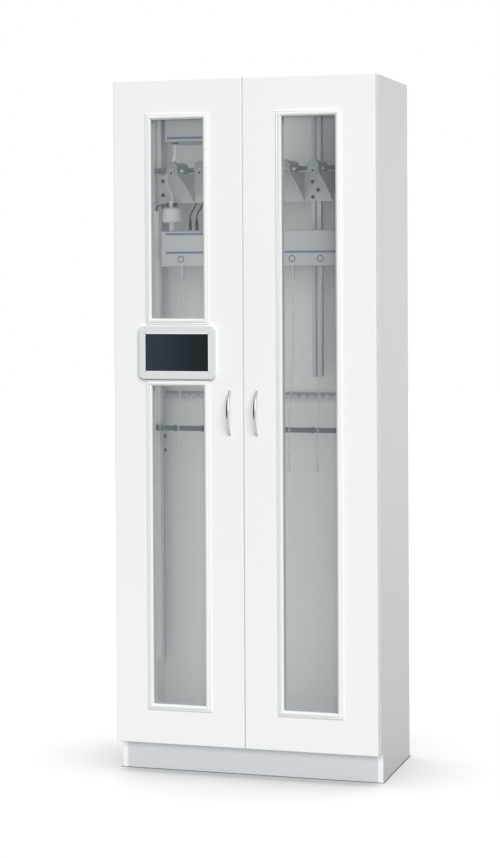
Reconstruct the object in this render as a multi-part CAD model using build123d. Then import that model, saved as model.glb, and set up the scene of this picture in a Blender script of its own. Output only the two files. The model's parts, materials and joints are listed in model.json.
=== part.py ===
from build123d import *
import os
from math import radians, sqrt, tan

# Endoscope drying cabinet, in millimetres: +X to the right, +Y to the back, +Z up.
# The origin is at floor level, midway between the sides and between the handles and the back.

# Cabinet body
WIDTH = 820.0
DEPTH = 430.0
HEIGHT = 2100.0
BOARD = 16.0
BACK_BOARD = 12.0
TOE_HEIGHT = 91.0
TOE_DEPTH = 33.0
PLINTH_SETBACK = 1.0

# Doors, their seals and windows
DOOR_THICKNESS = 24.0
DOOR_STANDOFF = 5.0
DOOR_SIDE_SETBACK = 2.0
DOOR_MEETING_GAP = 3.0
DOOR_EDGE_RADIUS = 2.0
SEAL_WIDTH = 8.0
SEAL_DEPTH = 10.0
SEAL_CLEARANCE = 0.8
FRAME_WIDTH = 200.0
MOULDING = 18.0
MOULDING_PROUD = 4.0
MOULDING_BEVEL = 25.0
BEAD_INSET = 7.0
BEAD_PROUD = 7.0
BEAD_ROUND = 1.5
BEAD_SLOPE = 5.0
GLASS_THICKNESS = 5.0
GLASS_BITE = 6.0
WINDOW_FOOT = 195.0
WINDOW_HEAD = 102.0

# Touch display on the left door
DISPLAY_WIDTH = 243.0
DISPLAY_HEIGHT = 162.0
DISPLAY_CENTRE_Z = 1278.5
DISPLAY_PROUD = 12.0
DISPLAY_CORNER = 17.0
DISPLAY_EDGE_ROUND = 3.0
DISPLAY_TO_WINDOW = 3.0
DISPLAY_LIP = 14.0
DISPLAY_BACK_PROUD = 6.0
SCREEN_WIDTH = 199.0
SCREEN_HEIGHT = 112.0
SCREEN_THICKNESS = 3.0
SCREEN_RECESS = 1.0

# Bow handles
HANDLE_REACH = 30.0
HANDLE_SPAN = 131.0
HANDLE_CENTRE_Z = 1097.0
HANDLE_OFFSET = 42.0
HANDLE_WIDTH = 8.0
HANDLE_THICKNESS = 5.0
HANDLE_ROUND = 2.2

# Hinges
HINGE_COUNT = 3
HINGE_INSET = 205.0
HINGE_HEIGHT = 90.0
HINGE_KNUCKLES = 5
BARREL_RADIUS = 3.0
PIN_RADIUS = 1.6
HINGE_LEAF = 1.6

# Slotted aluminium uprights
UPRIGHT = 30.0
SLOT_MOUTH = 8.0
SLOT_LIP = 2.0
SLOT_ROOM = 16.0
SLOT_ROOM_DEPTH = 4.0
SLOT_DEPTH = 9.0
UPRIGHT_BORE = 6.8
UPRIGHT_TO_BACK = 69.0
LONG_UPRIGHT_FOOT = 291.0
SHORT_UPRIGHT_BELOW_MANIFOLD = 346.0
SHORT_UPRIGHT_TO_CONTROL = 5.0
CAP_HEIGHT = 8.0

# Hangers: one welded plate with brackets, and a moulded cradle on each
PLACES = 7
PLACES_TO_UPRIGHT = 49.0
SHEET = 2.0
PLATE_TO_CEILING = 254.0
PLATE_HEIGHT = 91.0
CRADLE_WIDTH = 36.0
CRADLE_LENGTH = 115.0
CRADLE_HEIGHT = 36.0
CRADLE_DIP = 14.0
CRADLE_DIP_RADIUS = 64.0
CRADLE_EDGE_ROUND = 3.0
CRADLE_TO_PLATE = 57.0
SHELF_DROP = 4.0
LIP_WIDTH = 16.0
LIP_RISE = 15.0
LIP_DROP = 9.0
GUSSET_TIP = 4.0
GUSSET_SAG = 8.0

# Hanging rail in front of the plate
RAIL_RADIUS = 7.0
RAIL_STANDOFF = 14.0
RAIL_ABOVE_PLATE = 12.0
RAIL_FOOT_RADIUS = 5.0

# Air manifold under the hangers
MANIFOLD_TO_UPRIGHT = 29.0
MANIFOLD_HEIGHT = 110.0
MANIFOLD_DEPTH = 89.0
MANIFOLD_TO_PLATE = 91.0
MANIFOLD_ROUND = 4.0
NOZZLE_INSET = 15.0
NOZZLE_COLLAR_RADIUS = 7.0
NOZZLE_COLLAR = 5.0
NOZZLE_RADIUS = 5.0
NOZZLE_LENGTH = 22.0
BARB_RADIUS = 4.0
BARB_LENGTH = 8.0

# Drying tubes that hang from the nozzles, with a white connector on each
TUBE_RADIUS = 3.0
TIP_RADIUS = 4.5
TIP_TAPER_RADIUS = 2.5
TIP_LENGTH = 30.0

# Air filter on the manifold
FILTER_RADIUS = 30.0
FILTER_FOOT_GAP = 28.0
FILTER_HEIGHT = 47.0
FILTER_SHOULDER = 8.0
FILTER_NECK_RADIUS = 9.0
FILTER_TOP_NECK_RADIUS = 10.0
FILTER_TOP_NECK = 22.0
FILTER_INSET = 18.0
FILTER_TO_PLATE = 2.0
CLIP_WALL = 5.0
CLIP_HEIGHT = 12.0
CLIP_MOUTH = 14.0
CURVE_CLEARANCE = 0.3

# Control box under the top board
CONTROL_TO_WALL = 71.0
CONTROL_WIDTH = 158.0
CONTROL_FRONT_TO_BACK = 183.0
CONTROL_HEIGHT = 155.5
CONTROL_ROUND = 3.0
FITTING_RADIUS = 8.0
FITTING_LENGTH = 8.0
GLAND_RADIUS = 5.0
GLAND_LENGTH = 8.0

# Air line and leads
AIR_LINE_RADIUS = 5.5
AIR_LINE_INSET = 18.0
LEAD_RADIUS = 2.5
LEAD_PLUG_RADIUS = 5.0
LEAD_PLUG_LENGTH = 36.0
LEAD_PLUG_BOOT = 8.0
LEAD_BOOT_WALL = 1.0
LEAD_SOCKET_HEIGHT = 4.0
LEAD_PLUG_TO_FILTER = (59.0, 81.0)
LEAD_BEHIND_FILTER = 5.0
LEAD_GLAND_INSET = (27.0, 11.0)
LEAD_GLAND_TO_BACK = (78.0, 66.0)
SENSOR_LEAD_RADIUS = 1.75

# Cable duct on the left upright
DUCT_WIDTH = 22.0
DUCT_DEPTH = 9.0
DUCT_TO_PLATE = 24.0
DUCT_ROUND = 4.0

# Perforated strip on the back board
STRIP_ABOVE_BAR = 90.0
STRIP_HEIGHT = 22.0
STRIP_DEPTH = 16.0
STRIP_HOLE = 9.0
STRIP_HOLE_PITCH = 26.0

# Divider bar with sleeves and rings, and its end brackets
BAR_BELOW_MANIFOLD = 511.0
BAR_CORE_RADIUS = 5.0
BAR_SLEEVE_RADIUS = 8.0
BAR_RING_RADIUS = 9.5
BAR_RING_WIDTH = 7.0
BAR_NECK = 4.0
BAR_STANDOFF = 18.0
BRACKET_RISE = 17.0
BRACKET_DROP = 84.0
BRACKET_REACH = 12.0

# Mains inlet and air slots at the back
INLET_WIDTH = 48.0
INLET_HEIGHT = 28.0
INLET_WALL = 3.0
INLET_DROP = 60.0
INLET_CORNER = 4.0
AIR_SLOTS = 6
AIR_SLOT_WIDTH = 110.0
AIR_SLOT_HEIGHT = 4.0
AIR_SLOT_PITCH = 14.0

# Planes that follow from the sizes above
HALF = WIDTH / 2
FACE_Y = (HANDLE_REACH - DEPTH) / 2
BACK_Y = FACE_Y + DEPTH
DOOR_BACK_Y = FACE_Y + DOOR_THICKNESS
CARCASS_Y = DOOR_BACK_Y + DOOR_STANDOFF
INNER_X = HALF - BOARD
INNER_BACK_Y = BACK_Y - BACK_BOARD
FLOOR_TOP = TOE_HEIGHT + BOARD
CEILING = HEIGHT - BOARD
DOOR_INNER_X = DOOR_MEETING_GAP / 2
DOOR_OUTER_X = HALF - DOOR_SIDE_SETBACK
DOOR_MID_X = (DOOR_INNER_X + DOOR_OUTER_X) / 2
HINGE_X = HALF - BARREL_RADIUS
HINGE_Y = (DOOR_BACK_Y + CARCASS_Y) / 2
HINGE_SPACING = (HEIGHT - TOE_HEIGHT - 2 * HINGE_INSET) / (HINGE_COUNT - 1)
HINGE_LEVELS = [TOE_HEIGHT + HINGE_INSET + i * HINGE_SPACING for i in range(HINGE_COUNT)]
WINDOW_TOP = HEIGHT - WINDOW_HEAD
LOWER_WINDOW_TOP = DISPLAY_CENTRE_Z - DISPLAY_HEIGHT / 2 - DISPLAY_TO_WINDOW
UPPER_WINDOW_FOOT = DISPLAY_CENTRE_Z + DISPLAY_HEIGHT / 2 + DISPLAY_TO_WINDOW
UPRIGHT_BACK_Y = INNER_BACK_Y - UPRIGHT_TO_BACK
UPRIGHT_Y = UPRIGHT_BACK_Y - UPRIGHT
LONG_UPRIGHT_X = INNER_X - UPRIGHT / 2
UPRIGHT_SIDE_X = INNER_X - UPRIGHT
PLATE_Y = UPRIGHT_Y - SHEET
PLATE_TOP = CEILING - PLATE_TO_CEILING
PLATE_FOOT = PLATE_TOP - PLATE_HEIGHT
PITCH = 2 * (UPRIGHT_SIDE_X - PLACES_TO_UPRIGHT) / PLACES
PLACE_X = [PITCH * (i - (PLACES - 1) / 2) for i in range(PLACES)]
SHELF_TOP = PLATE_TOP - SHELF_DROP
CRADLE_BACK_Y = PLATE_Y - CRADLE_TO_PLATE
CRADLE_FRONT_Y = CRADLE_BACK_Y - CRADLE_LENGTH
CRADLE_TOP = SHELF_TOP + CRADLE_HEIGHT
GUSSET_FACE = CRADLE_WIDTH / 2
MANIFOLD_X = UPRIGHT_SIDE_X - MANIFOLD_TO_UPRIGHT
MANIFOLD_Y = UPRIGHT_Y - MANIFOLD_DEPTH
MANIFOLD_TOP = PLATE_FOOT - MANIFOLD_TO_PLATE
MANIFOLD_FOOT = MANIFOLD_TOP - MANIFOLD_HEIGHT
SHORT_UPRIGHT_FOOT = MANIFOLD_FOOT - SHORT_UPRIGHT_BELOW_MANIFOLD
NOZZLE_Y = MANIFOLD_Y + NOZZLE_INSET
NOZZLE_END = MANIFOLD_FOOT - NOZZLE_COLLAR - NOZZLE_LENGTH - BARB_LENGTH
FILTER_X = -MANIFOLD_X + FILTER_INSET
FILTER_Y = PLATE_Y - FILTER_TO_PLATE - FILTER_RADIUS
FILTER_FOOT = MANIFOLD_TOP + FILTER_FOOT_GAP
FILTER_TOP = FILTER_FOOT + FILTER_HEIGHT
NECK_TOP = FILTER_TOP + FILTER_TOP_NECK
CONTROL_FOOT = CEILING - CONTROL_HEIGHT
CONTROL_LEFT = -INNER_X + CONTROL_TO_WALL
CONTROL_RIGHT = CONTROL_LEFT + CONTROL_WIDTH
SHORT_UPRIGHT_X = -(CONTROL_RIGHT + SHORT_UPRIGHT_TO_CONTROL + UPRIGHT / 2)
CONTROL_Y = INNER_BACK_Y - CONTROL_FRONT_TO_BACK
AIR_LINE_TOP = CONTROL_FOOT - FITTING_LENGTH
AIR_LINE_TOP_X = CONTROL_LEFT + AIR_LINE_INSET
LEAD_TOP = CONTROL_FOOT - GLAND_LENGTH
LEAD_PLUG_X = [FILTER_X + offset for offset in LEAD_PLUG_TO_FILTER]
LEAD_GLAND_X = [CONTROL_RIGHT - inset for inset in LEAD_GLAND_INSET]
LEAD_PLUG_Y = FILTER_Y + LEAD_BEHIND_FILTER
LEAD_PLUG_FOOT = MANIFOLD_TOP + LEAD_SOCKET_HEIGHT
LEAD_FOOT = LEAD_PLUG_FOOT + LEAD_PLUG_LENGTH
DUCT_Y = UPRIGHT_Y - DUCT_DEPTH
DUCT_TOP = PLATE_FOOT - DUCT_TO_PLATE
RAIL_Y = UPRIGHT_Y - RAIL_STANDOFF
BAR_Y = UPRIGHT_Y - BAR_STANDOFF
BAR_Z = MANIFOLD_FOOT - BAR_BELOW_MANIFOLD
STRIP_FOOT = BAR_Z + STRIP_ABOVE_BAR
CLIP_FOOT = PLATE_FOOT - CLIP_HEIGHT


def block(x, y, z):
    """A box from three (low, high) pairs."""
    size = Box(x[1] - x[0], y[1] - y[0], z[1] - z[0])
    return Pos((x[0] + x[1]) / 2, (y[0] + y[1]) / 2, (z[0] + z[1]) / 2) * size


def post(x, y, foot, radius, height):
    """A cylinder that stands on its foot."""
    return Pos(x, y, foot + height / 2) * Cylinder(radius, height)


def spindle(x, y, z, radius, length):
    """A cylinder along Y, from y towards the back."""
    return Pos(x, y + length / 2, z) * Rot(90, 0, 0) * Cylinder(radius, length)


def facing_plane(x, y, z):
    """A plane whose own X is +X, whose own Y is +Z and which faces the front."""
    return Plane(origin=(x, y, z), x_dir=(1, 0, 0), z_dir=(0, -1, 0))


def span(centre, size):
    """The (low, high) pair of a size about its centre."""
    return (centre - size / 2, centre + size / 2)


# Cabinet body

def side_panel(side):
    """Side board that runs to the floor, with the toe recess and the hinge barrels' pockets."""
    x = (side * INNER_X, side * HALF) if side > 0 else (-HALF, -INNER_X)
    panel = block(x, (CARCASS_Y, BACK_Y), (0, HEIGHT))
    panel -= block(x, (CARCASS_Y, CARCASS_Y + TOE_DEPTH), (0, TOE_HEIGHT))
    return panel - hinge_pockets(side)


def level_board(foot):
    """Top or bottom board between the side boards."""
    return block((-INNER_X, INNER_X), (CARCASS_Y, INNER_BACK_Y), (foot, foot + BOARD))


def plinth_board():
    front = CARCASS_Y + TOE_DEPTH + PLINTH_SETBACK
    return block((-INNER_X, INNER_X), (front, front + BOARD), (0, TOE_HEIGHT))


def inlet_centre():
    return (CONTROL_LEFT + CONTROL_RIGHT) / 2, CONTROL_FOOT + CONTROL_HEIGHT - INLET_DROP


def back_board():
    """Back board with the inlet's cut-out and the air slots behind the control box."""
    board = block((-INNER_X, INNER_X), (INNER_BACK_Y, BACK_Y), (0, HEIGHT))
    x, z = inlet_centre()
    depth = (INNER_BACK_Y, BACK_Y)
    cutout_width = INLET_WIDTH + 2 * CURVE_CLEARANCE
    cutout_height = INLET_HEIGHT + 2 * CURVE_CLEARANCE
    board -= block(span(x, cutout_width), depth, span(z, cutout_height))
    for i in range(AIR_SLOTS):
        level = CONTROL_FOOT + AIR_SLOT_PITCH * (i + 1)
        board -= block(span(x, AIR_SLOT_WIDTH), depth, span(level, AIR_SLOT_HEIGHT))
    return board


def mains_inlet():
    """Inlet flush in its cut-out, with an open socket towards the back."""
    x, z = inlet_centre()
    rear = Plane(origin=(x, BACK_Y, z), x_dir=(-1, 0, 0), z_dir=(0, 1, 0))
    outline = RectangleRounded(INLET_WIDTH, INLET_HEIGHT, INLET_CORNER)
    socket = Rectangle(INLET_WIDTH - 2 * INLET_WALL, INLET_HEIGHT - 2 * INLET_WALL)
    body = extrude(rear * outline, -BACK_BOARD)
    return body - extrude(rear * socket, INLET_WALL - BACK_BOARD)


# Doors

def hinge_pockets(side):
    """Round rooms along the hinge axis, one at each hinge."""
    pockets = []
    radius = BARREL_RADIUS + CURVE_CLEARANCE
    height = HINGE_HEIGHT + 2 * CURVE_CLEARANCE
    for level in HINGE_LEVELS:
        pockets.append(post(side * HINGE_X, HINGE_Y, level - height / 2, radius, height))
    return pockets


def door_slab(side):
    x = (DOOR_INNER_X, DOOR_OUTER_X) if side > 0 else (-DOOR_OUTER_X, -DOOR_INNER_X)
    slab = block(x, (FACE_Y, DOOR_BACK_Y), (TOE_HEIGHT, HEIGHT))
    front = slab.faces().sort_by(Axis.Y)[0]
    slab = fillet(front.edges(), DOOR_EDGE_RADIUS)
    return slab - hinge_pockets(side)


def window_cutout(centre_x, foot, top):
    """Hole in the door for one window frame."""
    flange = MOULDING - GLASS_BITE
    x = span(centre_x, FRAME_WIDTH - flange)
    return block(x, (FACE_Y, DOOR_BACK_Y), (foot + flange / 2, top - flange / 2))


def display_cutout():
    width = DISPLAY_WIDTH - 2 * DISPLAY_LIP
    height = DISPLAY_HEIGHT - 2 * DISPLAY_LIP
    return block(span(-DOOR_MID_X, width), (FACE_Y, DOOR_BACK_Y), span(DISPLAY_CENTRE_Z, height))


def left_door():
    door = door_slab(-1)
    door -= window_cutout(-DOOR_MID_X, UPPER_WINDOW_FOOT, WINDOW_TOP)
    door -= window_cutout(-DOOR_MID_X, WINDOW_FOOT, LOWER_WINDOW_TOP)
    return door - display_cutout()


def right_door():
    return door_slab(1) - window_cutout(DOOR_MID_X, WINDOW_FOOT, WINDOW_TOP)


def window_frame(centre_x, foot, top):
    """One moulding ring: flanges on both faces of the door, a bead and a groove for the glass."""
    height = top - foot
    middle = (foot + top) / 2
    outline = Rectangle(FRAME_WIDTH, height)
    front = extrude(facing_plane(centre_x, FACE_Y, middle) * outline, MOULDING_PROUD, taper=MOULDING_BEVEL)
    rear_plane = Plane(origin=(centre_x, DOOR_BACK_Y, middle), x_dir=(-1, 0, 0), z_dir=(0, 1, 0))
    rear = extrude(rear_plane * outline, MOULDING_PROUD, taper=MOULDING_BEVEL)
    ring = front + window_bead(centre_x, middle, height) + rear + window_cutout(centre_x, foot, top)
    opening_width = FRAME_WIDTH - 2 * MOULDING
    opening_height = height - 2 * MOULDING
    through = (FACE_Y - BEAD_PROUD, DOOR_BACK_Y + MOULDING_PROUD)
    ring -= block(span(centre_x, opening_width), through, span(middle, opening_height))
    slope_foot = facing_plane(centre_x, FACE_Y - BEAD_PROUD + BEAD_SLOPE, middle)
    ring -= extrude(slope_foot * Rectangle(opening_width, opening_height), BEAD_SLOPE, taper=-45)
    groove = GLASS_THICKNESS + 2 * CURVE_CLEARANCE
    groove_width = opening_width + 2 * GLASS_BITE - 2 * CURVE_CLEARANCE
    groove_height = opening_height + 2 * GLASS_BITE - 2 * CURVE_CLEARANCE
    groove_y = span((FACE_Y + DOOR_BACK_Y) / 2, groove)
    return ring - block(span(centre_x, groove_width), groove_y, span(middle, groove_height))


def window_bead(centre_x, middle, height):
    """Raised inner part of the front flange, round at its outer edge."""
    outline = Rectangle(FRAME_WIDTH - 2 * BEAD_INSET, height - 2 * BEAD_INSET)
    bead = extrude(facing_plane(centre_x, FACE_Y, middle) * outline, BEAD_PROUD)
    return fillet(bead.faces().sort_by(Axis.Y)[0].edges(), BEAD_ROUND)


def window_glass(centre_x, foot, top):
    bite = GLASS_BITE - 2 * CURVE_CLEARANCE
    width = FRAME_WIDTH - 2 * MOULDING + 2 * bite
    height = top - foot - 2 * MOULDING + 2 * bite
    y = span((FACE_Y + DOOR_BACK_Y) / 2, GLASS_THICKNESS)
    return block(span(centre_x, width), y, span((foot + top) / 2, height))


def display_housing():
    """Rounded bezel on the door's face with a body through the door and a recess for the screen."""
    plane = facing_plane(-DOOR_MID_X, FACE_Y, DISPLAY_CENTRE_Z)
    outline = RectangleRounded(DISPLAY_WIDTH, DISPLAY_HEIGHT, DISPLAY_CORNER)
    bezel = extrude(plane * outline, DISPLAY_PROUD)
    face = bezel.faces().sort_by(Axis.Y)[0]
    bezel = fillet(face.edges(), DISPLAY_EDGE_ROUND)
    width = DISPLAY_WIDTH - 2 * DISPLAY_LIP - 2 * CURVE_CLEARANCE
    height = DISPLAY_HEIGHT - 2 * DISPLAY_LIP - 2 * CURVE_CLEARANCE
    y = (FACE_Y, DOOR_BACK_Y + DISPLAY_BACK_PROUD)
    housing = bezel + block(span(-DOOR_MID_X, width), y, span(DISPLAY_CENTRE_Z, height))
    return housing - screen_block(SCREEN_RECESS, CURVE_CLEARANCE)


def screen_block(front_room, clearance):
    """The screen's slab, or the recess that takes it."""
    front = FACE_Y - DISPLAY_PROUD + SCREEN_RECESS
    x = span(-DOOR_MID_X, SCREEN_WIDTH + 2 * clearance)
    z = span(DISPLAY_CENTRE_Z, SCREEN_HEIGHT + 2 * clearance)
    return block(x, (front - front_room, front + SCREEN_THICKNESS), z)


def handle(side):
    """Slim bow of one even curve, with both ends cut flat on the door."""
    x = side * HANDLE_OFFSET
    rise = HANDLE_REACH - HANDLE_THICKNESS / 2
    radius = (HANDLE_SPAN * HANDLE_SPAN / 4 + rise * rise) / (2 * rise)
    sunk = HANDLE_THICKNESS
    half = sqrt(radius * radius - (radius - rise - sunk) ** 2)
    low = (x, FACE_Y + sunk, HANDLE_CENTRE_Z - half)
    high = (x, FACE_Y + sunk, HANDLE_CENTRE_Z + half)
    bow = ThreePointArc(low, (x, FACE_Y - rise, HANDLE_CENTRE_Z), high)
    start = Plane(origin=low, x_dir=(1, 0, 0), z_dir=bow % 0)
    strap = sweep(start * RectangleRounded(HANDLE_WIDTH, HANDLE_THICKNESS, HANDLE_ROUND), path=bow)
    room_z = span(HANDLE_CENTRE_Z, 2 * HANDLE_SPAN)
    return strap - block(span(x, 2 * HANDLE_WIDTH), (FACE_Y, DOOR_BACK_Y), room_z)


def door_seal(side):
    """Soft ring on the door's back that plugs the cabinet's opening."""
    outer = INNER_X - SEAL_CLEARANCE
    x = (DOOR_INNER_X, outer) if side > 0 else (-outer, -DOOR_INNER_X)
    y = (DOOR_BACK_Y, DOOR_BACK_Y + SEAL_DEPTH)
    z = (FLOOR_TOP + SEAL_CLEARANCE, CEILING - SEAL_CLEARANCE)
    inner_x = (x[0] + SEAL_WIDTH, x[1] - SEAL_WIDTH)
    inner_z = (z[0] + SEAL_WIDTH, z[1] - SEAL_WIDTH)
    return block(x, y, z) - block(inner_x, y, inner_z)


# Hinges

def knuckle_heights(own, level):
    """Foot and height of each knuckle of one leaf: the leaf on the body has the outer ones."""
    step = HINGE_HEIGHT / HINGE_KNUCKLES
    foot = level - HINGE_HEIGHT / 2
    first = 0 if own == "body" else 1
    height = step - CURVE_CLEARANCE
    return [(foot + i * step + CURVE_CLEARANCE / 2, height) for i in range(first, HINGE_KNUCKLES, 2)]


def hinge_leaf(side, level, own):
    """One flat leaf with its knuckles: the body's leaf carries the pin, the door's turns on it."""
    axis_x = side * HINGE_X
    wing_y = (CARCASS_Y - HINGE_LEAF, CARCASS_Y) if own == "body" else (DOOR_BACK_Y, DOOR_BACK_Y + HINGE_LEAF)
    wing_edge = HINGE_X - BARREL_RADIUS - CURVE_CLEARANCE
    wing_x = sorted((side * INNER_X, side * wing_edge))
    leaf = block(wing_x, wing_y, span(level, HINGE_HEIGHT))
    for foot, height in knuckle_heights(own, level):
        web_x = sorted((side * wing_edge, axis_x))
        leaf += block(web_x, wing_y, (foot, foot + height))
        leaf += post(axis_x, HINGE_Y, foot, BARREL_RADIUS, height)
    if own == "body":
        return leaf + post(axis_x, HINGE_Y, level - HINGE_HEIGHT / 2, PIN_RADIUS, HINGE_HEIGHT)
    bore = PIN_RADIUS + CURVE_CLEARANCE
    return leaf - post(axis_x, HINGE_Y, level - HINGE_HEIGHT / 2, bore, HINGE_HEIGHT)


def hinge_leaves(side, own):
    return Compound([hinge_leaf(side, level, own) for level in HINGE_LEVELS])


# Slotted uprights

def slot_shape():
    """One undercut slot of the profile, at its +X side."""
    face = UPRIGHT / 2
    points = [
        (face, SLOT_MOUTH / 2),
        (face - SLOT_LIP, SLOT_MOUTH / 2),
        (face - SLOT_LIP, SLOT_ROOM / 2),
        (face - SLOT_LIP - SLOT_ROOM_DEPTH, SLOT_ROOM / 2),
        (face - SLOT_DEPTH, SLOT_MOUTH / 2),
    ]
    mirrored = [(x, -y) for x, y in reversed(points)]
    return make_face(Polyline(*points, *mirrored, close=True))


def upright(centre_x, foot):
    """Square aluminium profile with an undercut slot in each face and a bore."""
    section = Rectangle(UPRIGHT, UPRIGHT) - Circle(UPRIGHT_BORE / 2)
    for quarter in range(4):
        section -= Rot(0, 0, 90 * quarter) * slot_shape()
    plane = Plane(origin=(centre_x, UPRIGHT_Y + UPRIGHT / 2, foot))
    return extrude(plane * section, CEILING - foot)


def end_cap(side):
    """Moulded cap under a long upright."""
    shape = RectangleRounded(UPRIGHT, UPRIGHT, UPRIGHT / 8)
    plane = Plane(origin=(side * LONG_UPRIGHT_X, UPRIGHT_Y + UPRIGHT / 2, LONG_UPRIGHT_FOOT - CAP_HEIGHT))
    return extrude(plane * shape, CAP_HEIGHT)


# Hangers

def hanger_plate():
    """Sheet across the uprights with folded ends, and a welded bracket at each place."""
    flange_x = UPRIGHT_SIDE_X - SHEET
    plate = block((-UPRIGHT_SIDE_X, UPRIGHT_SIDE_X), (PLATE_Y, UPRIGHT_Y), (PLATE_FOOT, PLATE_TOP))
    for side in (-1, 1):
        fold_x = sorted((side * flange_x, side * UPRIGHT_SIDE_X))
        plate += block(fold_x, (UPRIGHT_Y, UPRIGHT_BACK_Y), (PLATE_FOOT, PLATE_TOP))
    for x in PLACE_X:
        plate += hanger_bracket(x)
    return plate


def hanger_bracket(x):
    """Shelf under the cradle, lip with its screw in front, and a gusset with a hollow lower edge."""
    front = CRADLE_FRONT_Y - SHEET
    shelf = block(span(x, CRADLE_WIDTH), (front, PLATE_Y), (SHELF_TOP - SHEET, SHELF_TOP))
    lip_z = (SHELF_TOP - LIP_DROP, SHELF_TOP + LIP_RISE)
    lip = block(span(x, LIP_WIDTH), (front, CRADLE_FRONT_Y), lip_z)
    return shelf + lip + gusset(x + GUSSET_FACE - SHEET)


def gusset(x):
    tip = (CRADLE_FRONT_Y, SHELF_TOP - SHEET)
    top = (PLATE_Y, SHELF_TOP - SHEET)
    heel = (PLATE_Y, PLATE_FOOT)
    nose = (CRADLE_FRONT_Y, SHELF_TOP - SHEET - GUSSET_TIP)
    middle = ((nose[0] + heel[0]) / 2, (nose[1] + heel[1]) / 2)
    run = heel[0] - nose[0]
    fall = nose[1] - heel[1]
    length = sqrt(run * run + fall * fall)
    crown = (middle[0] + GUSSET_SAG * fall / length, middle[1] + GUSSET_SAG * run / length)
    edge = [Line(nose, tip), Line(tip, top), Line(top, heel), ThreePointArc(heel, crown, nose)]
    plane = Plane(origin=(x, 0, 0), x_dir=(0, 1, 0), z_dir=(1, 0, 0))
    return extrude(plane * make_face(edge), SHEET)


def cradle(x):
    """Moulded saddle with a round back, two horns and a dip between them."""
    half = CRADLE_WIDTH / 2
    shoulder = CRADLE_TOP - half
    outline = [
        Line((-half, SHELF_TOP), (half, SHELF_TOP)),
        Line((half, SHELF_TOP), (half, shoulder)),
        ThreePointArc((half, shoulder), (0, CRADLE_TOP), (-half, shoulder)),
        Line((-half, shoulder), (-half, SHELF_TOP)),
    ]
    back = Plane(origin=(x, CRADLE_BACK_Y, 0), x_dir=(1, 0, 0), z_dir=(0, -1, 0))
    saddle = extrude(back * make_face(outline), CRADLE_LENGTH)
    ends = saddle.faces().filter_by(Axis.Y)
    saddle = fillet(ends.edges().filter_by(lambda e: e.center().Z > shoulder), CRADLE_EDGE_ROUND)
    centre_y = (CRADLE_FRONT_Y + CRADLE_BACK_Y) / 2
    centre_z = CRADLE_TOP - CRADLE_DIP + CRADLE_DIP_RADIUS
    dip = Pos(x, centre_y, centre_z) * Rot(0, 90, 0) * Cylinder(CRADLE_DIP_RADIUS, CRADLE_WIDTH)
    return saddle - dip


def hanging_rail():
    """Round rail on short feet that are screwed to the uprights."""
    z = PLATE_TOP + RAIL_ABOVE_PLATE
    rail = Pos(0, RAIL_Y, z) * Rot(0, 90, 0) * Cylinder(RAIL_RADIUS, 2 * LONG_UPRIGHT_X + 2 * RAIL_RADIUS)
    for x in (-LONG_UPRIGHT_X, -SHORT_UPRIGHT_X, SHORT_UPRIGHT_X, LONG_UPRIGHT_X):
        rail += spindle(x, RAIL_Y, z, RAIL_FOOT_RADIUS, RAIL_STANDOFF)
    return rail


# Air system

def air_manifold():
    """Closed box with a stepped nozzle under each place and two sockets on top."""
    y = (MANIFOLD_Y, UPRIGHT_Y)
    box = block((-MANIFOLD_X, MANIFOLD_X), y, (MANIFOLD_FOOT, MANIFOLD_TOP))
    front = box.faces().sort_by(Axis.Y)[0]
    box = fillet(front.edges(), MANIFOLD_ROUND)
    for x in PLACE_X:
        box += nozzle(x)
    for x in LEAD_PLUG_X:
        box += post(x, LEAD_PLUG_Y, MANIFOLD_TOP, NOZZLE_COLLAR_RADIUS, LEAD_SOCKET_HEIGHT)
    return box


def nozzle(x):
    collar_foot = MANIFOLD_FOOT - NOZZLE_COLLAR
    shank_foot = collar_foot - NOZZLE_LENGTH
    shape = post(x, NOZZLE_Y, collar_foot, NOZZLE_COLLAR_RADIUS, NOZZLE_COLLAR)
    shape += post(x, NOZZLE_Y, shank_foot, NOZZLE_RADIUS, NOZZLE_LENGTH)
    return shape + post(x, NOZZLE_Y, NOZZLE_END, BARB_RADIUS, BARB_LENGTH)


def air_filter():
    """Round capsule with soft shoulders between two necks, turned about its upright axis."""
    r = FILTER_RADIUS
    s = FILTER_SHOULDER
    low = FILTER_FOOT
    high = FILTER_TOP
    neck = FILTER_NECK_RADIUS
    top_neck = FILTER_TOP_NECK_RADIUS
    outline = [
        Line((0, MANIFOLD_TOP), (neck, MANIFOLD_TOP)),
        Line((neck, MANIFOLD_TOP), (neck, low)),
        Line((neck, low), (r - s, low)),
        RadiusArc((r - s, low), (r, low + s), -s),
        Line((r, low + s), (r, high - s)),
        RadiusArc((r, high - s), (r - s, high), -s),
        Line((r - s, high), (top_neck, high)),
        Line((top_neck, high), (top_neck, NECK_TOP)),
        Line((top_neck, NECK_TOP), (0, NECK_TOP)),
        Line((0, NECK_TOP), (0, MANIFOLD_TOP)),
    ]
    section = Plane.XZ * make_face(outline)
    return Pos(FILTER_X, FILTER_Y, 0) * revolve(section, Axis.Z)


def filter_clip():
    """Open ring round the filter's top neck, on an arm from the hanger plate's foot."""
    inner = FILTER_TOP_NECK_RADIUS + CURVE_CLEARANCE
    ring = post(FILTER_X, FILTER_Y, CLIP_FOOT, inner + CLIP_WALL, CLIP_HEIGHT)
    arm_y = (FILTER_Y + inner, UPRIGHT_Y)
    ring += block(span(FILTER_X, CLIP_MOUTH), arm_y, (CLIP_FOOT, PLATE_FOOT))
    ring -= post(FILTER_X, FILTER_Y, CLIP_FOOT, inner, CLIP_HEIGHT)
    mouth_y = (FILTER_Y - inner - CLIP_WALL, FILTER_Y)
    return ring - block(span(FILTER_X, CLIP_MOUTH), mouth_y, (CLIP_FOOT, PLATE_FOOT))


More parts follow.
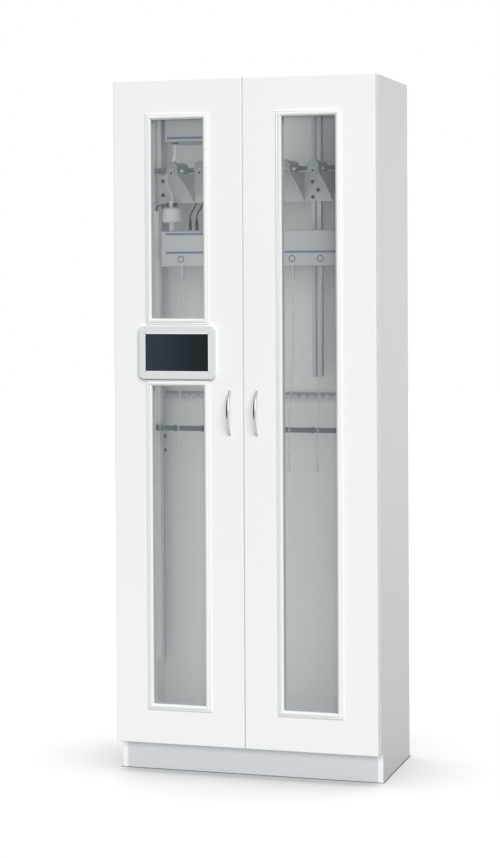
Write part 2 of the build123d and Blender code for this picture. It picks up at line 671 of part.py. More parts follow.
def control_box():
    """Housing in the top left corner with the air fitting and two cable glands underneath."""
    y = (CONTROL_Y, INNER_BACK_Y)
    box = block((CONTROL_LEFT, CONTROL_RIGHT), y, (CONTROL_FOOT, CEILING))
    front = box.faces().sort_by(Axis.Y)[0]
    box = fillet(front.edges(), CONTROL_ROUND)
    box += post(AIR_LINE_TOP_X, FILTER_Y, AIR_LINE_TOP, FITTING_RADIUS, FITTING_LENGTH)
    for x, to_back in zip(LEAD_GLAND_X, LEAD_GLAND_TO_BACK):
        box += post(x, INNER_BACK_Y - to_back, LEAD_TOP, GLAND_RADIUS, GLAND_LENGTH)
    return box


# Tubes and leads

def bend_radii(points):
    """Arc radius at each inner point: as large as its two runs allow."""
    radii = []
    for before, here, after in zip(points, points[1:], points[2:]):
        arriving = Vector(*here) - Vector(*before)
        leaving = Vector(*after) - Vector(*here)
        shorter = min(arriving.length, leaving.length)
        half_turn = radians(arriving.get_angle(leaving)) / 2
        radii.append(0.45 * shorter / tan(half_turn))
    return radii


def tube_along(name, points, radius):
    """Round tube along straight runs joined by tangent arcs."""
    radii = bend_radii(points)
    path = FilletPolyline(*points, radius=radii)
    start = Plane(origin=points[0], z_dir=Vector(*points[1]) - Vector(*points[0]))
    tube = sweep(start * Circle(radius), path=path)
    print(name, "length", round(path.length, 1), "radii", [round(r) for r in radii])
    return tube


def tube_points(x):
    """Route of one hanging tube: down from its nozzle, easing forward and left, then down again."""
    drop = [
        (0.0, 0.0, 0.0),
        (0.0, 0.0, -70.0),
        (-0.5, -1.5, -145.0),
        (-1.5, -4.5, -225.0),
        (-3.0, -9.5, -305.0),
        (-5.0, -16.0, -380.0),
        (-8.0, -22.0, -445.0),
        (-10.0, -25.0, -508.0),
        (-10.0, -25.0, -570.0),
    ]
    return [(x + dx, NOZZLE_Y + dy, NOZZLE_END + dz) for dx, dy, dz in drop]


def tube_tip(x):
    """Stepped connector on the free end of a tube."""
    end_x, end_y, end_z = tube_points(x)[-1]
    body = 2 * TIP_LENGTH / 3
    cone = TIP_LENGTH - body
    tip = post(end_x, end_y, end_z - body, TIP_RADIUS, body)
    nose = Cone(TIP_TAPER_RADIUS, TIP_RADIUS, cone)
    return tip + Pos(end_x, end_y, end_z - body - cone / 2) * nose


def tube_tips():
    return Compound([tube_tip(x) for x in PLACE_X])


def air_line_points():
    """Route from the fitting under the control box, past the first hanger, to the filter."""
    return [
        (AIR_LINE_TOP_X, FILTER_Y, AIR_LINE_TOP),
        (AIR_LINE_TOP_X, FILTER_Y, AIR_LINE_TOP - 30.0),
        (AIR_LINE_TOP_X - 6.0, FILTER_Y - 3.0, AIR_LINE_TOP - 60.0),
        (AIR_LINE_TOP_X - 30.0, FILTER_Y - 6.0, AIR_LINE_TOP - 100.0),
        (FILTER_X - 12.0, FILTER_Y - 4.0, NECK_TOP + 45.0),
        (FILTER_X, FILTER_Y, NECK_TOP + 20.0),
        (FILTER_X, FILTER_Y, NECK_TOP),
    ]


def lead_points(index):
    """Route of a lead: up from its plug, back under the plate, then up to its gland."""
    x = LEAD_PLUG_X[index]
    gland_x = LEAD_GLAND_X[index]
    gland_y = INNER_BACK_Y - LEAD_GLAND_TO_BACK[index]
    behind = UPRIGHT_Y + 12.0
    return [
        (x, LEAD_PLUG_Y, LEAD_FOOT),
        (x, LEAD_PLUG_Y, LEAD_FOOT + 10.0),
        (x + 2.0, LEAD_PLUG_Y + 14.0, LEAD_FOOT + 24.0),
        (x + 6.0, behind, LEAD_FOOT + 44.0),
        (x + 13.0, behind + 3.0, LEAD_FOOT + 75.0),
        (x + 32.0, behind + 6.0, LEAD_FOOT + 120.0),
        (gland_x - 8.0, gland_y, LEAD_FOOT + 165.0),
        (gland_x, gland_y, LEAD_FOOT + 200.0),
        (gland_x, gland_y, LEAD_TOP),
    ]


def sensor_lead_points():
    """Route from the cable duct's top to the back of the filter's clip."""
    x = -LONG_UPRIGHT_X
    y = DUCT_Y + DUCT_DEPTH / 2
    end_z = CLIP_FOOT + CLIP_HEIGHT / 2
    return [
        (x, y, DUCT_TOP),
        (x, y, end_z - 7.0),
        (x + 9.0, y, end_z - 0.5),
        (x + 27.0, y, end_z),
        (FILTER_X - CLIP_MOUTH / 2, y, end_z),
    ]


def lead_plugs():
    """Cable plugs in the manifold's sockets, each with a narrower boot on top."""
    plugs = []
    for x in LEAD_PLUG_X:
        body = LEAD_PLUG_LENGTH - LEAD_PLUG_BOOT
        plug = post(x, LEAD_PLUG_Y, LEAD_PLUG_FOOT, LEAD_PLUG_RADIUS, body)
        boot = Cone(LEAD_PLUG_RADIUS, LEAD_RADIUS + LEAD_BOOT_WALL, LEAD_PLUG_BOOT)
        plugs.append(plug + Pos(x, LEAD_PLUG_Y, LEAD_PLUG_FOOT + body + LEAD_PLUG_BOOT / 2) * boot)
    return Compound(plugs)


def cable_duct():
    """Slim duct down the front of the left upright, with round front edges and a round top."""
    x = span(-LONG_UPRIGHT_X, DUCT_WIDTH)
    duct = block(x, (DUCT_Y, UPRIGHT_Y), (LONG_UPRIGHT_FOOT, DUCT_TOP))
    edges = duct.faces().sort_by(Axis.Y)[0].edges()
    return fillet(edges.filter_by(Axis.Z), DUCT_ROUND)


# Lower fittings

def perforated_strip():
    """Angle across the back board, its front leg pierced by a row of square holes."""
    x = (-INNER_X, INNER_X)
    front = INNER_BACK_Y - STRIP_DEPTH
    top = STRIP_FOOT + STRIP_HEIGHT
    strip = block(x, (front, front + SHEET), (STRIP_FOOT, top))
    strip += block(x, (front, INNER_BACK_Y), (top - SHEET, top))
    holes = int(2 * (INNER_X - STRIP_HOLE_PITCH) / STRIP_HOLE_PITCH)
    level = STRIP_FOOT + (STRIP_HEIGHT - SHEET) / 2
    for i in range(holes):
        centre = STRIP_HOLE_PITCH * (i - (holes - 1) / 2)
        strip -= block(span(centre, STRIP_HOLE), (front, front + SHEET), span(level, STRIP_HOLE))
    return strip


def divider_bar():
    """Turned bar: a core with soft sleeves, and a ring between each two places."""
    end = LONG_UPRIGHT_X + BAR_SLEEVE_RADIUS
    bar = bar_piece(-end, end, BAR_CORE_RADIUS)
    rings = [PITCH * (i - PLACES / 2) for i in range(PLACES + 1)]
    bracket_x = UPRIGHT_SIDE_X - SHEET / 2
    bracket_room = SHEET / 2 + CURVE_CLEARANCE
    ring_room = BAR_RING_WIDTH / 2 + BAR_NECK
    rooms = [(-bracket_x, bracket_room), (bracket_x, bracket_room)] + [(x, ring_room) for x in rings]
    start = -end
    for x, room in sorted(rooms):
        bar += bar_piece(start, x - room, BAR_SLEEVE_RADIUS)
        start = x + room
    bar += bar_piece(start, end, BAR_SLEEVE_RADIUS)
    for x in rings:
        bar += bar_piece(x - BAR_RING_WIDTH / 2, x + BAR_RING_WIDTH / 2, BAR_RING_RADIUS)
    return bar


def bar_piece(start, stop, radius):
    return Pos((start + stop) / 2, BAR_Y, BAR_Z) * Rot(0, 90, 0) * Cylinder(radius, stop - start)


def bar_bracket(side):
    """Plate on the upright's inner side that reaches forward to the bar, with a hollow lower edge."""
    top = BAR_Z + BRACKET_RISE
    foot = BAR_Z - BRACKET_DROP
    front = BAR_Y - BRACKET_REACH
    crown = (UPRIGHT_Y - (UPRIGHT_Y - front) / 4, (foot + BAR_Z) / 2)
    edge = [
        Line((UPRIGHT_BACK_Y, foot), (UPRIGHT_Y, foot)),
        ThreePointArc((UPRIGHT_Y, foot), crown, (front, BAR_Z)),
        Line((front, BAR_Z), (front, top)),
        Line((front, top), (UPRIGHT_BACK_Y, top)),
        Line((UPRIGHT_BACK_Y, top), (UPRIGHT_BACK_Y, foot)),
    ]
    inner = UPRIGHT_SIDE_X - SHEET if side > 0 else -UPRIGHT_SIDE_X
    plane = Plane(origin=(inner, 0, 0), x_dir=(0, 1, 0), z_dir=(1, 0, 0))
    bore = Pos(BAR_Y, BAR_Z) * Circle(BAR_CORE_RADIUS + CURVE_CLEARANCE)
    return extrude(plane * (make_face(edge) - bore), SHEET)


def bar_brackets():
    return Compound([bar_bracket(side) for side in (-1, 1)])


def build():
    """Every piece by name."""
    pieces = {
        "side_panel_left": side_panel(-1),
        "side_panel_right": side_panel(1),
        "top_board": level_board(CEILING),
        "bottom_board": level_board(TOE_HEIGHT),
        "back_board": back_board(),
        "plinth_board": plinth_board(),
        "mains_inlet": mains_inlet(),
        "door_left": left_door(),
        "door_right": right_door(),
        "window_frame_upper": window_frame(-DOOR_MID_X, UPPER_WINDOW_FOOT, WINDOW_TOP),
        "window_frame_lower": window_frame(-DOOR_MID_X, WINDOW_FOOT, LOWER_WINDOW_TOP),
        "window_frame_right": window_frame(DOOR_MID_X, WINDOW_FOOT, WINDOW_TOP),
        "window_glass_upper": window_glass(-DOOR_MID_X, UPPER_WINDOW_FOOT, WINDOW_TOP),
        "window_glass_lower": window_glass(-DOOR_MID_X, WINDOW_FOOT, LOWER_WINDOW_TOP),
        "window_glass_right": window_glass(DOOR_MID_X, WINDOW_FOOT, WINDOW_TOP),
        "display_housing": display_housing(),
        "display_screen": screen_block(0, 0),
        "handle_left": handle(-1),
        "handle_right": handle(1),
        "door_seal_left": door_seal(-1),
        "door_seal_right": door_seal(1),
        "hinges_left_door_leaves": hinge_leaves(-1, "door"),
        "hinges_left_body_leaves": hinge_leaves(-1, "body"),
        "hinges_right_door_leaves": hinge_leaves(1, "door"),
        "hinges_right_body_leaves": hinge_leaves(1, "body"),
        "upright_left": upright(-LONG_UPRIGHT_X, LONG_UPRIGHT_FOOT),
        "upright_right": upright(LONG_UPRIGHT_X, LONG_UPRIGHT_FOOT),
        "upright_mid_left": upright(-SHORT_UPRIGHT_X, SHORT_UPRIGHT_FOOT),
        "upright_mid_right": upright(SHORT_UPRIGHT_X, SHORT_UPRIGHT_FOOT),
        "upright_caps": Compound([end_cap(side) for side in (-1, 1)]),
        "hanger_plate": hanger_plate(),
        "hanging_rail": hanging_rail(),
        "air_manifold": air_manifold(),
        "air_filter": air_filter(),
        "filter_clip": filter_clip(),
        "control_box": control_box(),
        "air_line": tube_along("air_line", air_line_points(), AIR_LINE_RADIUS),
        "control_lead_1": tube_along("control_lead_1", lead_points(0), LEAD_RADIUS),
        "control_lead_2": tube_along("control_lead_2", lead_points(1), LEAD_RADIUS),
        "sensor_lead": tube_along("sensor_lead", sensor_lead_points(), SENSOR_LEAD_RADIUS),
        "lead_plugs": lead_plugs(),
        "cable_duct": cable_duct(),
        "perforated_strip": perforated_strip(),
        "divider_bar": divider_bar(),
        "bar_brackets": bar_brackets(),
        "tube_tips": tube_tips(),
    }
    for number, x in enumerate(PLACE_X, 1):
        pieces[f"cradle_{number}"] = cradle(x)
        pieces[f"drying_tube_{number}"] = tube_along(f"drying_tube_{number}", tube_points(x), TUBE_RADIUS)
    return pieces


os.makedirs("parts", exist_ok=True)
for name, piece in build().items():
    export_step(piece, f"parts/{name}.step")
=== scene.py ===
"""Looks of an endoscope drying cabinet, dressed round its fixed frame. Units are metres."""

import json
import math

import bmesh
import bpy
from mathutils import Matrix, Vector

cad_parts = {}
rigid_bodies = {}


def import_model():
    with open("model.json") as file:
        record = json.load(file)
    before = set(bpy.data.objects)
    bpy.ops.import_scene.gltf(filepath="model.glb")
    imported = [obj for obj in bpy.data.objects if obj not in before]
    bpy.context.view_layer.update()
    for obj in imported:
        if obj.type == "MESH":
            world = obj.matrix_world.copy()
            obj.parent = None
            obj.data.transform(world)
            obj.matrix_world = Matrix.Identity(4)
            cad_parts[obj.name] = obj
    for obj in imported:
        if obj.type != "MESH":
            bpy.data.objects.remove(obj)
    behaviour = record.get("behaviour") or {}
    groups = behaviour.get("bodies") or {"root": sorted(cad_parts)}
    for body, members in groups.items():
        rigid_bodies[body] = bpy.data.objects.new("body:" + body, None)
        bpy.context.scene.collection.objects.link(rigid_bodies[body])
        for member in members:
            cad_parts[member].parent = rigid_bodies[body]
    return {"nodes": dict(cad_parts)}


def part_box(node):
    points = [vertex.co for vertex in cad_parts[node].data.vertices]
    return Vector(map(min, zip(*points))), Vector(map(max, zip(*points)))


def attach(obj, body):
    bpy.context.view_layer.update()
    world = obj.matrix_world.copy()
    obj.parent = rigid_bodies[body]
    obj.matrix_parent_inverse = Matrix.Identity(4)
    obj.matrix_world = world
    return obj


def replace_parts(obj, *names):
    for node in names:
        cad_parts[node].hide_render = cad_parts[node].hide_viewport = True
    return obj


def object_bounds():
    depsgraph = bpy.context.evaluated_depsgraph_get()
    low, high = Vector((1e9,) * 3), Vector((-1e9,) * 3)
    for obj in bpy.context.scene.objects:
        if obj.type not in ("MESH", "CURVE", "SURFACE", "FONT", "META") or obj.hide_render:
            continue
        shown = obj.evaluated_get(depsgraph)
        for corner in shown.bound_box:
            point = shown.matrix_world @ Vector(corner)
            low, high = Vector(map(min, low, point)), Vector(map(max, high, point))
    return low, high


bl_info = {
    "name": "Endoscope Drying Cabinet",
    "version": (1, 0, 0),
    "blender": (4, 5, 0),
    "location": "View3D > Sidebar > Cabinet",
    "description": "Finishes and small fittings of a glazed drying cabinet for endoscopes",
    "category": "Object",
}

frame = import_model()
cad_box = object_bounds()

MM = 0.001
PLACES = sorted(name for name in frame["nodes"] if name.startswith("cradle_"))
SIDES = (-1, 1)
WHITE = (1.0, 1.0, 1.0, 1.0)


# Colour and shader helpers


def srgb(code):
    """Linear colour from an sRGB hex code."""
    parts = [int(code[i : i + 2], 16) / 255 for i in (1, 3, 5)]
    linear = [c / 12.92 if c <= 0.04045 else ((c + 0.055) / 1.055) ** 2.4 for c in parts]
    return (*linear, 1.0)


def node(tree, kind, inputs=None, **settings):
    """One shader node: settings by name, and each input a value or the socket that feeds it."""
    made = tree.nodes.new("ShaderNode" + kind)
    for name, value in settings.items():
        setattr(made, name, value)
    for name, value in (inputs or {}).items():
        if isinstance(value, bpy.types.NodeSocket):
            tree.links.new(value, made.inputs[name])
        else:
            made.inputs[name].default_value = value
    return made


def new_material(name):
    """A material and its empty tree."""
    material = bpy.data.materials.new(name)
    material.use_nodes = True
    material.node_tree.nodes.clear()
    return material, material.node_tree


def stuff(look):
    """Turns a function that gives a surface's look into one that makes a material of that look."""

    def make(name, *colours, **settings):
        material, tree = new_material(name)
        place = node(tree, "TexCoord").outputs["Object"]
        shader = node(tree, "BsdfPrincipled", look(tree, place, *colours, **settings))
        node(tree, "OutputMaterial", {"Surface": shader.outputs[0]})
        return material

    return make


def shaded(colour, factor):
    """The colour made darker or lighter by a factor."""
    return (*(min(1.0, part * factor) for part in colour[:3]), 1.0)


def mottle(tree, place, size, colour, down, up=None, detail=2.0, texture="TexNoise"):
    """Colour that drifts darker by a share of down and lighter by up over a length of size."""
    cloud = node(tree, texture, {"Vector": place, "Scale": 1 / size, "Detail": detail})
    dark, light = shaded(colour, 1 - down), shaded(colour, 1 + (down if up is None else up))
    ends = {"Factor": cloud.outputs[0], "A": dark, "B": light}
    return node(tree, "Mix", ends, data_type="RGBA").outputs["Result"]


def along(tree, place, axis, start, end):
    """Share that goes smoothly from 0 at start to 1 at end along an axis."""
    value = node(tree, "SeparateXYZ", {"Vector": place}).outputs[axis]
    ramp = {"Value": value, "From Min": start, "From Max": end}
    return node(tree, "MapRange", ramp, interpolation_type="SMOOTHSTEP").outputs[0]


def relief(tree, place, size, strength, height, detail=2.0, texture="TexNoise", **settings):
    """Surface normal from marks of one size, with the strength of the bumps and their height."""
    marks = node(tree, texture, {"Vector": place, "Scale": 1 / size, "Detail": detail}, **settings)
    bump = {"Height": marks.outputs[0], "Strength": strength, "Distance": height}
    return node(tree, "Bump", bump).outputs[0]


# Materials, each named for its stuff and how its surface was made


@stuff
def melamine_board(tree, place, colour):
    # Melamine laminate on chipboard: satin white with a fine pearl texture of about 1 mm
    return {
        "Base Color": mottle(tree, place, 0.35, colour, 0.008),
        "Normal": relief(tree, place, 1.2 * MM, 0.12, 0.05 * MM, detail=1.0),
        "Roughness": 0.38,
        "IOR": 1.5,
    }


@stuff
def lacquered_door(tree, place, colour):
    # Polyurethane lacquer on fibreboard: smooth, with a faint orange peel of about 3 mm
    return {
        "Base Color": mottle(tree, place, 0.5, colour, 0.006),
        "Normal": relief(tree, place, 3 * MM, 0.08, 0.05 * MM, detail=1.0),
        "Roughness": 0.3,
        "IOR": 1.5,
    }


@stuff
def extruded_pvc(tree, place, colour):
    # Rigid PVC, extruded: semi-gloss with faint die marks about 2 mm across
    return {
        "Base Color": mottle(tree, place, 0.2, colour, 0.01),
        "Normal": relief(tree, place, 2 * MM, 0.05, 0.04 * MM, detail=0.0),
        "Roughness": 0.22,
        "IOR": 1.53,
    }


@stuff
def moulding_pvc(tree, place, colour, rebate_painted_shade):
    # Extruded rigid PVC: semi-gloss white, with painted shade that makes it greyer where its inner
    # edge goes in to the glass
    front, back = (corner.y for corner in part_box("door_left"))
    # Share of painted shade: full on the inner edge, between the door's front and back
    inward = along(tree, place, "Y", front - 3 * MM, front + 1 * MM)
    outward = along(tree, place, "Y", back, back - 1 * MM)
    between = node(tree, "Math", {0: inward, 1: outward}, operation="MINIMUM").outputs[0]
    ends = {"Factor": between, "A": colour, "B": rebate_painted_shade}
    return {
        "Base Color": node(tree, "Mix", ends, data_type="RGBA").outputs["Result"],
        "Roughness": 0.22,
        "IOR": 1.53,
    }


@stuff
def float_glass(tree, place, colour, veil):
    # Clear float glass: lets most light through and veils what is behind with pale reflections,
    # partly its real shine and partly painted by its lit tint
    return {
        "Base Color": mottle(tree, place, 0.6, colour, 0.02),
        "Roughness": 0.04,
        "IOR": 1.52,
        "Alpha": veil,
    }


@stuff
def moulded_plastic(tree, place, colour, roughness, grain=1 * MM):
    # Injection-moulded plastic: even, with a fine spark grain. Blackened steel is as finely pitted
    return {
        "Base Color": mottle(tree, place, 0.08, colour, 0.02),
        "Normal": relief(tree, place, grain, 0.15, 0.06 * MM),
        "Roughness": roughness,
        "IOR": 1.5,
    }


@stuff
def cover_glass(tree, place, colour, edge):
    # Black-backed cover glass of a switched-off screen, with a painted reflection that makes it a
    # little greyer towards its left
    left, right = (corner.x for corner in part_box("display_screen"))
    ends = {"Factor": along(tree, place, "X", left, right), "A": colour, "B": edge}
    return {
        "Base Color": node(tree, "Mix", ends, data_type="RGBA").outputs["Result"],
        "Roughness": 0.12,
        "IOR": 1.5,
        "Specular IOR Level": 0.2,
    }


@stuff
def satin_nickel(tree, place, colour, roughness):
    # Nickel-plated zinc, brushed along its length: soft streaks of about 1 mm
    streaks = node(tree, "Mapping", {"Vector": place, "Scale": (1.0, 1.0, 0.04)}).outputs[0]
    return {
        "Base Color": mottle(tree, place, 0.03, colour, 0.04),
        "Normal": relief(tree, streaks, 0.8 * MM, 0.15, 0.03 * MM, detail=3.0),
        "Metallic": 1.0,
        "Roughness": roughness,
    }


@stuff
def anodised_aluminium(tree, place, colour):
    # Anodised aluminium extrusion: pale satin grey with die lines up its length
    lines = node(tree, "Mapping", {"Vector": place, "Scale": (1.0, 1.0, 0.01)}).outputs[0]
    return {
        "Base Color": mottle(tree, lines, 0.01, colour, 0.05),
        "Normal": relief(tree, lines, 1.5 * MM, 0.2, 0.04 * MM),
        "Metallic": 0.3,
        "Roughness": 0.42,
    }


@stuff
def powder_coat(tree, place, colour):
    # Polyester powder coat on sheet steel: matt, with an orange peel of about 2 mm
    peel = {"detail": 0.0, "texture": "TexVoronoi", "feature": "SMOOTH_F1"}
    return {
        "Base Color": mottle(tree, place, 0.15, colour, 0.02),
        "Normal": relief(tree, place, 2 * MM, 0.12, 0.08 * MM, **peel),
        "Roughness": 0.48,
        "IOR": 1.5,
    }


@stuff
def galvanised_steel(tree, place, colour):
    # Hot-dip galvanised steel: spangles of about 8 mm, each a little darker at its middle
    spangle = {"down": 0.06, "up": 0.0, "detail": 0.0, "texture": "TexVoronoi"}
    return {
        "Base Color": mottle(tree, place, 8 * MM, colour, **spangle),
        "Metallic": 0.4,
        "Roughness": 0.5,
    }


@stuff
def soft_rubber(tree, place, colour, roughness):
    # Extruded elastomer: matt, with a dusty drift over about 30 mm
    return {
        "Base Color": mottle(tree, place, 0.03, colour, 0.04),
        "Normal": relief(tree, place, 1.5 * MM, 0.1, 0.05 * MM),
        "Roughness": roughness,
        "IOR": 1.45,
    }


@stuff
def silicone_tube(tree, place, colour, cover):
    # Translucent silicone, extruded: a haze that partly covers what is behind, with a soft shine
    return {
        "Base Color": mottle(tree, place, 40 * MM, colour, 0.06, up=0.0),
        "Roughness": 0.35,
        "IOR": 1.41,
        "Alpha": cover,
    }


@stuff
def foam_sleeve(tree, place, colour):
    # Closed-cell foam sleeve: matt dark grey, its cells about 1.5 mm across
    cells = {"detail": 0.0, "texture": "TexVoronoi"}
    return {
        "Base Color": mottle(tree, place, 0.05, colour, 0.06),
        "Normal": relief(tree, place, 1.5 * MM, 0.3, 0.2 * MM, **cells),
        "Roughness": 0.5,
    }


@stuff
def vinyl_film(tree, place, colour):
    # Cast vinyl film stuck on: flat, even and slightly shiny
    return {"Base Color": mottle(tree, place, 0.1, colour, 0.03), "Roughness": 0.4}


# Mesh helpers

SHARP_ANGLE = 35
ROUND_ANGLE = 30


def new_object(name, data):
    """An object in the scene for some data."""
    made = bpy.data.objects.new(name, data)
    bpy.context.scene.collection.objects.link(made)
    return made


def piece_from(name, bm, material, body="cabinet"):
    """A piece of the object from a bmesh, with the material given: it rides on its body."""
    bmesh.ops.remove_doubles(bm, verts=bm.verts, dist=1e-6)
    bmesh.ops.recalc_face_normals(bm, faces=bm.faces)
    mesh = bpy.data.meshes.new(name)
    bm.to_mesh(mesh)
    bm.free()
    mesh.materials.append(material)
    mesh.shade_smooth()
    mesh.set_sharp_from_angle(angle=math.radians(SHARP_ANGLE))
    made = new_object(name, mesh)
    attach(made, body)
    return made


def standing(seat, axis):
    """Matrix that stands a shape's own Z along axis, on seat."""
    turn = Vector((0, 0, 1)).rotation_difference(Vector(axis)).to_matrix().to_4x4()
    return Matrix.Translation(seat) @ turn


def turned(bm, profile, seat, axis, steps=20, closed=False):
    """Spins a profile of (radius, height) pairs about axis, standing on seat."""
    place = standing(seat, axis)
    verts = [bm.verts.new(place @ Vector((radius, 0, height))) for radius, height in profile]
    ends = verts[1:] + verts[:1] if closed else verts[1:]
    edges = [bm.edges.new(pair) for pair in zip(verts, ends)]
    bmesh.ops.spin(
        bm, geom=verts + edges, cent=seat, axis=axis, angle=math.tau, steps=steps, use_merge=True
    )


def stacked(bm, levels, seat, axis):
    """Closed shape through level rings of (radius, height, sides), standing on seat."""
    place = standing(seat, axis)
    loops = []
    for number, (radius, height, sides) in enumerate(levels):
        ends = number in (0, len(levels) - 1)
        level = place @ Matrix.Translation((0, 0, height))
        shape = {"radius": radius, "segments": sides, "matrix": level, "cap_ends": ends}
        ring = bmesh.ops.create_circle(bm, **shape)["verts"]
        loops.append(list({edge for vert in ring for edge in vert.link_edges}))
    for lower, upper in zip(loops, loops[1:]):
        bmesh.ops.bridge_loops(bm, edges=lower + upper)


# Rings up a screw head and down its socket: shares of its radius and height, sides
SCREW_RINGS = ((1.0, 0.0, 18), (1.0, 0.75, 18), (0.86, 1.0, 18), (0.5, 1.0, 6), (0.5, 0.45, 6))


def socket_screws(name, seats, radius, height, material, slot, body="cabinet"):
    """A piece of screw heads with hexagonal sockets, from (seat, axis) pairs."""
    bm = bmesh.new()
    levels = [(radius * wide, height * up, sides) for wide, up, sides in SCREW_RINGS]
    for seat, axis in seats:
        stacked(bm, levels, seat, axis)
    piece_from(name, bm, material, body)


def slab(bm, low, high, rounding=0.0):
    """A thin box between two corners, its edges rounded."""
    made = bmesh.ops.create_cube(bm, size=1.0)["verts"]
    bmesh.ops.scale(bm, vec=Vector(high) - Vector(low), verts=made)
    bmesh.ops.translate(bm, vec=(Vector(high) + Vector(low)) / 2, verts=made)
    if rounding:
        edges = list({edge for vert in made for edge in vert.link_edges})
        bmesh.ops.bevel(
            bm, geom=edges, offset=rounding, segments=2, profile=0.5, affect="EDGES", material=-1
        )


def border(bm, low, high, width, depth, rounding=0.0):
    """Four bars, width wide, round the rectangle between low and high; depth is their span in y."""
    left, right = (low.x - width, low.x), (high.x, high.x + width)
    foot, top = (low.z - width, low.z), (high.z, high.z + width)
    across, up = (left[0], right[1]), (foot[0], top[1])
    for x, z in ((across, top), (across, foot), (left, up), (right, up)):
        slab(bm, *zip(x, depth, z), rounding)


def in_metres(profile):
    """A profile of (radius, height) pairs in millimetres, made metres."""
    return [(radius * MM, height * MM) for radius, height in profile]


def spread(first, last, count):
    """Evenly spaced values from first to last."""
    return [first + (last - first) * i / (count - 1) for i in range(count)]


def dress(names, material):
    """Gives CAD nodes their material."""
    for name in names:
        slots = frame["nodes"][name].data.materials
        slots.clear()
        slots.append(material)


def smooth_turned(names):
    """Shades the round faces of CAD nodes as round."""
    for name in names:
        mesh = frame["nodes"][name].data
        mesh.shade_smooth()
        mesh.set_sharp_from_angle(angle=math.radians(ROUND_ANGLE))


# What a user would change


def colour_value(name, description, code):
    colour = {"default": srgb(code), "size": 4, "subtype": "COLOR", "min": 0, "max": 1}
    return bpy.props.FloatVectorProperty(name=name, description=description, **colour)


def length_value(name, description, millimetres):
    length = {"default": millimetres * MM, "min": 0.0, "unit": "LENGTH", "subtype": "DISTANCE"}
    return bpy.props.FloatProperty(name=name, description=description, **length)


def strength_value(name, description, strength):
    return bpy.props.FloatProperty(name=name, description=description, default=strength, min=0.0)


class CabinetFinishes(bpy.types.PropertyGroup):
    """Colours of the cabinet's stuffs."""

    door: colour_value("Door", "Doors and the lip round the screen", "#F4F5F5")
    board: colour_value("Board", "Laminate of the cabinet's boards", "#F6F7F7")
    # The back board's laminate is a little lighter than the other boards: painted light for light
    # bounced round the inside
    inside: colour_value("Inside", "Laminate of the back board", "#F8F9F9")
    plinth: colour_value("Plinth", "Laminate of the plinth board", "#D3D9DC")
    moulding: colour_value("Moulding", "Window mouldings", "#EDEFEF")
    # Painted shade on the mouldings' inner edges, before the glass
    rebate_painted_shade: colour_value("Rebate", "Inner edges of the mouldings, before the glass", "#C4C9CB")
    # The glass tint, lit at a low share, also paints a pale reflection over what is behind
    glass: colour_value("Glass", "Tint of the glass", "#A6B4B8")
    housing: colour_value("Display housing", "Bezel round the display", "#DEE1E2")
    # The two screen colours paint a reflection on the dark screen: lighter at its left end, darker
    # at its right
    screen: colour_value("Screen", "Left end of the dark screen", "#323D45")
    screen_edge: colour_value("Screen edge", "Right end of the dark screen", "#22282C")
    chrome: colour_value("Chrome", "Bow handles", "#C2C2C0")
    nickel: colour_value("Nickel", "Screws and inlet blades", "#B4B2AC")
    hinge: colour_value("Hinge", "Lacquer of the hinges", "#E6E9E9")
    seal: colour_value("Seal", "Door seals", "#B9BCBD")
    strip: colour_value("Meeting strip", "Strip between the doors", "#CED2D2")
    aluminium: colour_value("Aluminium", "Slotted uprights", "#D9DCDC")
    coat: colour_value("Coated steel", "Hanger plate, manifold and control box", "#CDD0D0")
    # The cradle colour also paints the shade along the perforated strip's upper rim
    cradle: colour_value("Cradle", "Moulded cradles and strip edging", "#9CA1A3")
    rail: colour_value("Rail", "Hanging rail and divider rings", "#6F7477")
    white_plastic: colour_value("White plastic", "Filter, caps and tube connectors", "#E9ECEB")
    black_plastic: colour_value("Black plastic", "Clip, plugs, leads, inlet and bolts", "#1B1C1D")
    duct: colour_value("Duct", "Cable duct", "#EFF1F1")
    silicone: colour_value("Silicone", "Drying tubes and air line", "#F6F8F8")
    sleeve: colour_value("Sleeve", "Divider bar's sleeves and place rings", "#6A6E70")
    stripe: colour_value("Stripe", "Trim stripes on the air system", "#747AA6")
    zinc: colour_value("Zinc", "Perforated strip", "#D9DDDD")


class CabinetFittings(bpy.types.PropertyGroup):
    """Sizes of the small fittings."""

    bolt_radius: length_value("Bolt radius", "Head of the black bolts", 6.0)
    bolt_height: length_value("Bolt height", "Height of the black bolts' heads", 4.5)
    screw_radius: length_value("Screw radius", "Head of the small screws", 3.0)
    screw_height: length_value("Screw height", "Height of the small screws' heads", 1.6)
    stud_radius: length_value("Stud radius", "White studs on the cradles", 5.5)
    stripe_height: length_value("Stripe height", "Height of the trim stripes", 7.0)
    film: length_value("Film", "Thickness of the stuck-on trim", 0.3)
    ring_radius: length_value("Ring radius", "Ring that marks each place", 9.5)
    ring_width: length_value("Ring width", "Line width of the rings", 3.0)
    tube_diameter: length_value("Tube diameter", "Outer diameter of a drying tube", 6.0)


class CabinetStage(bpy.types.PropertyGroup):
    """Floor, lights and camera."""

    key: strength_value("Key", "Strength of the front light", 2.72)
    side: strength_value("Side", "Power of the right light", 7.3)
    fill: strength_value("Fill", "Strength of the world's light", 0.38)
    above: strength_value("Above", "Strength of the floor's light", 2.45)
    inside: strength_value("Inside", "Power of the light inside", 1.32)
    floor: colour_value("Floor", "Floor where it is seen", "#E4E4E4")
    bounce: colour_value("Bounce", "Floor as the cabinet's light", "#707070")
    lens: bpy.props.FloatProperty(
        name="Lens",
        description="Focal length on a 36 mm sensor",
        default=88.665,
        min=1.0,
        subtype="DISTANCE_CAMERA",
    )


def settings(context):
    """The colours and sizes that the user set."""
    return context.scene.cabinet_finishes, context.scene.cabinet_fittings


# Places that the pieces share, read from the frame


def middle(name):
    """Centre of a node's box."""
    low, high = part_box(name)
    return (low + high) / 2


def place_lines():
    """The x of each hanging place."""
    return [middle(name).x for name in PLACES]


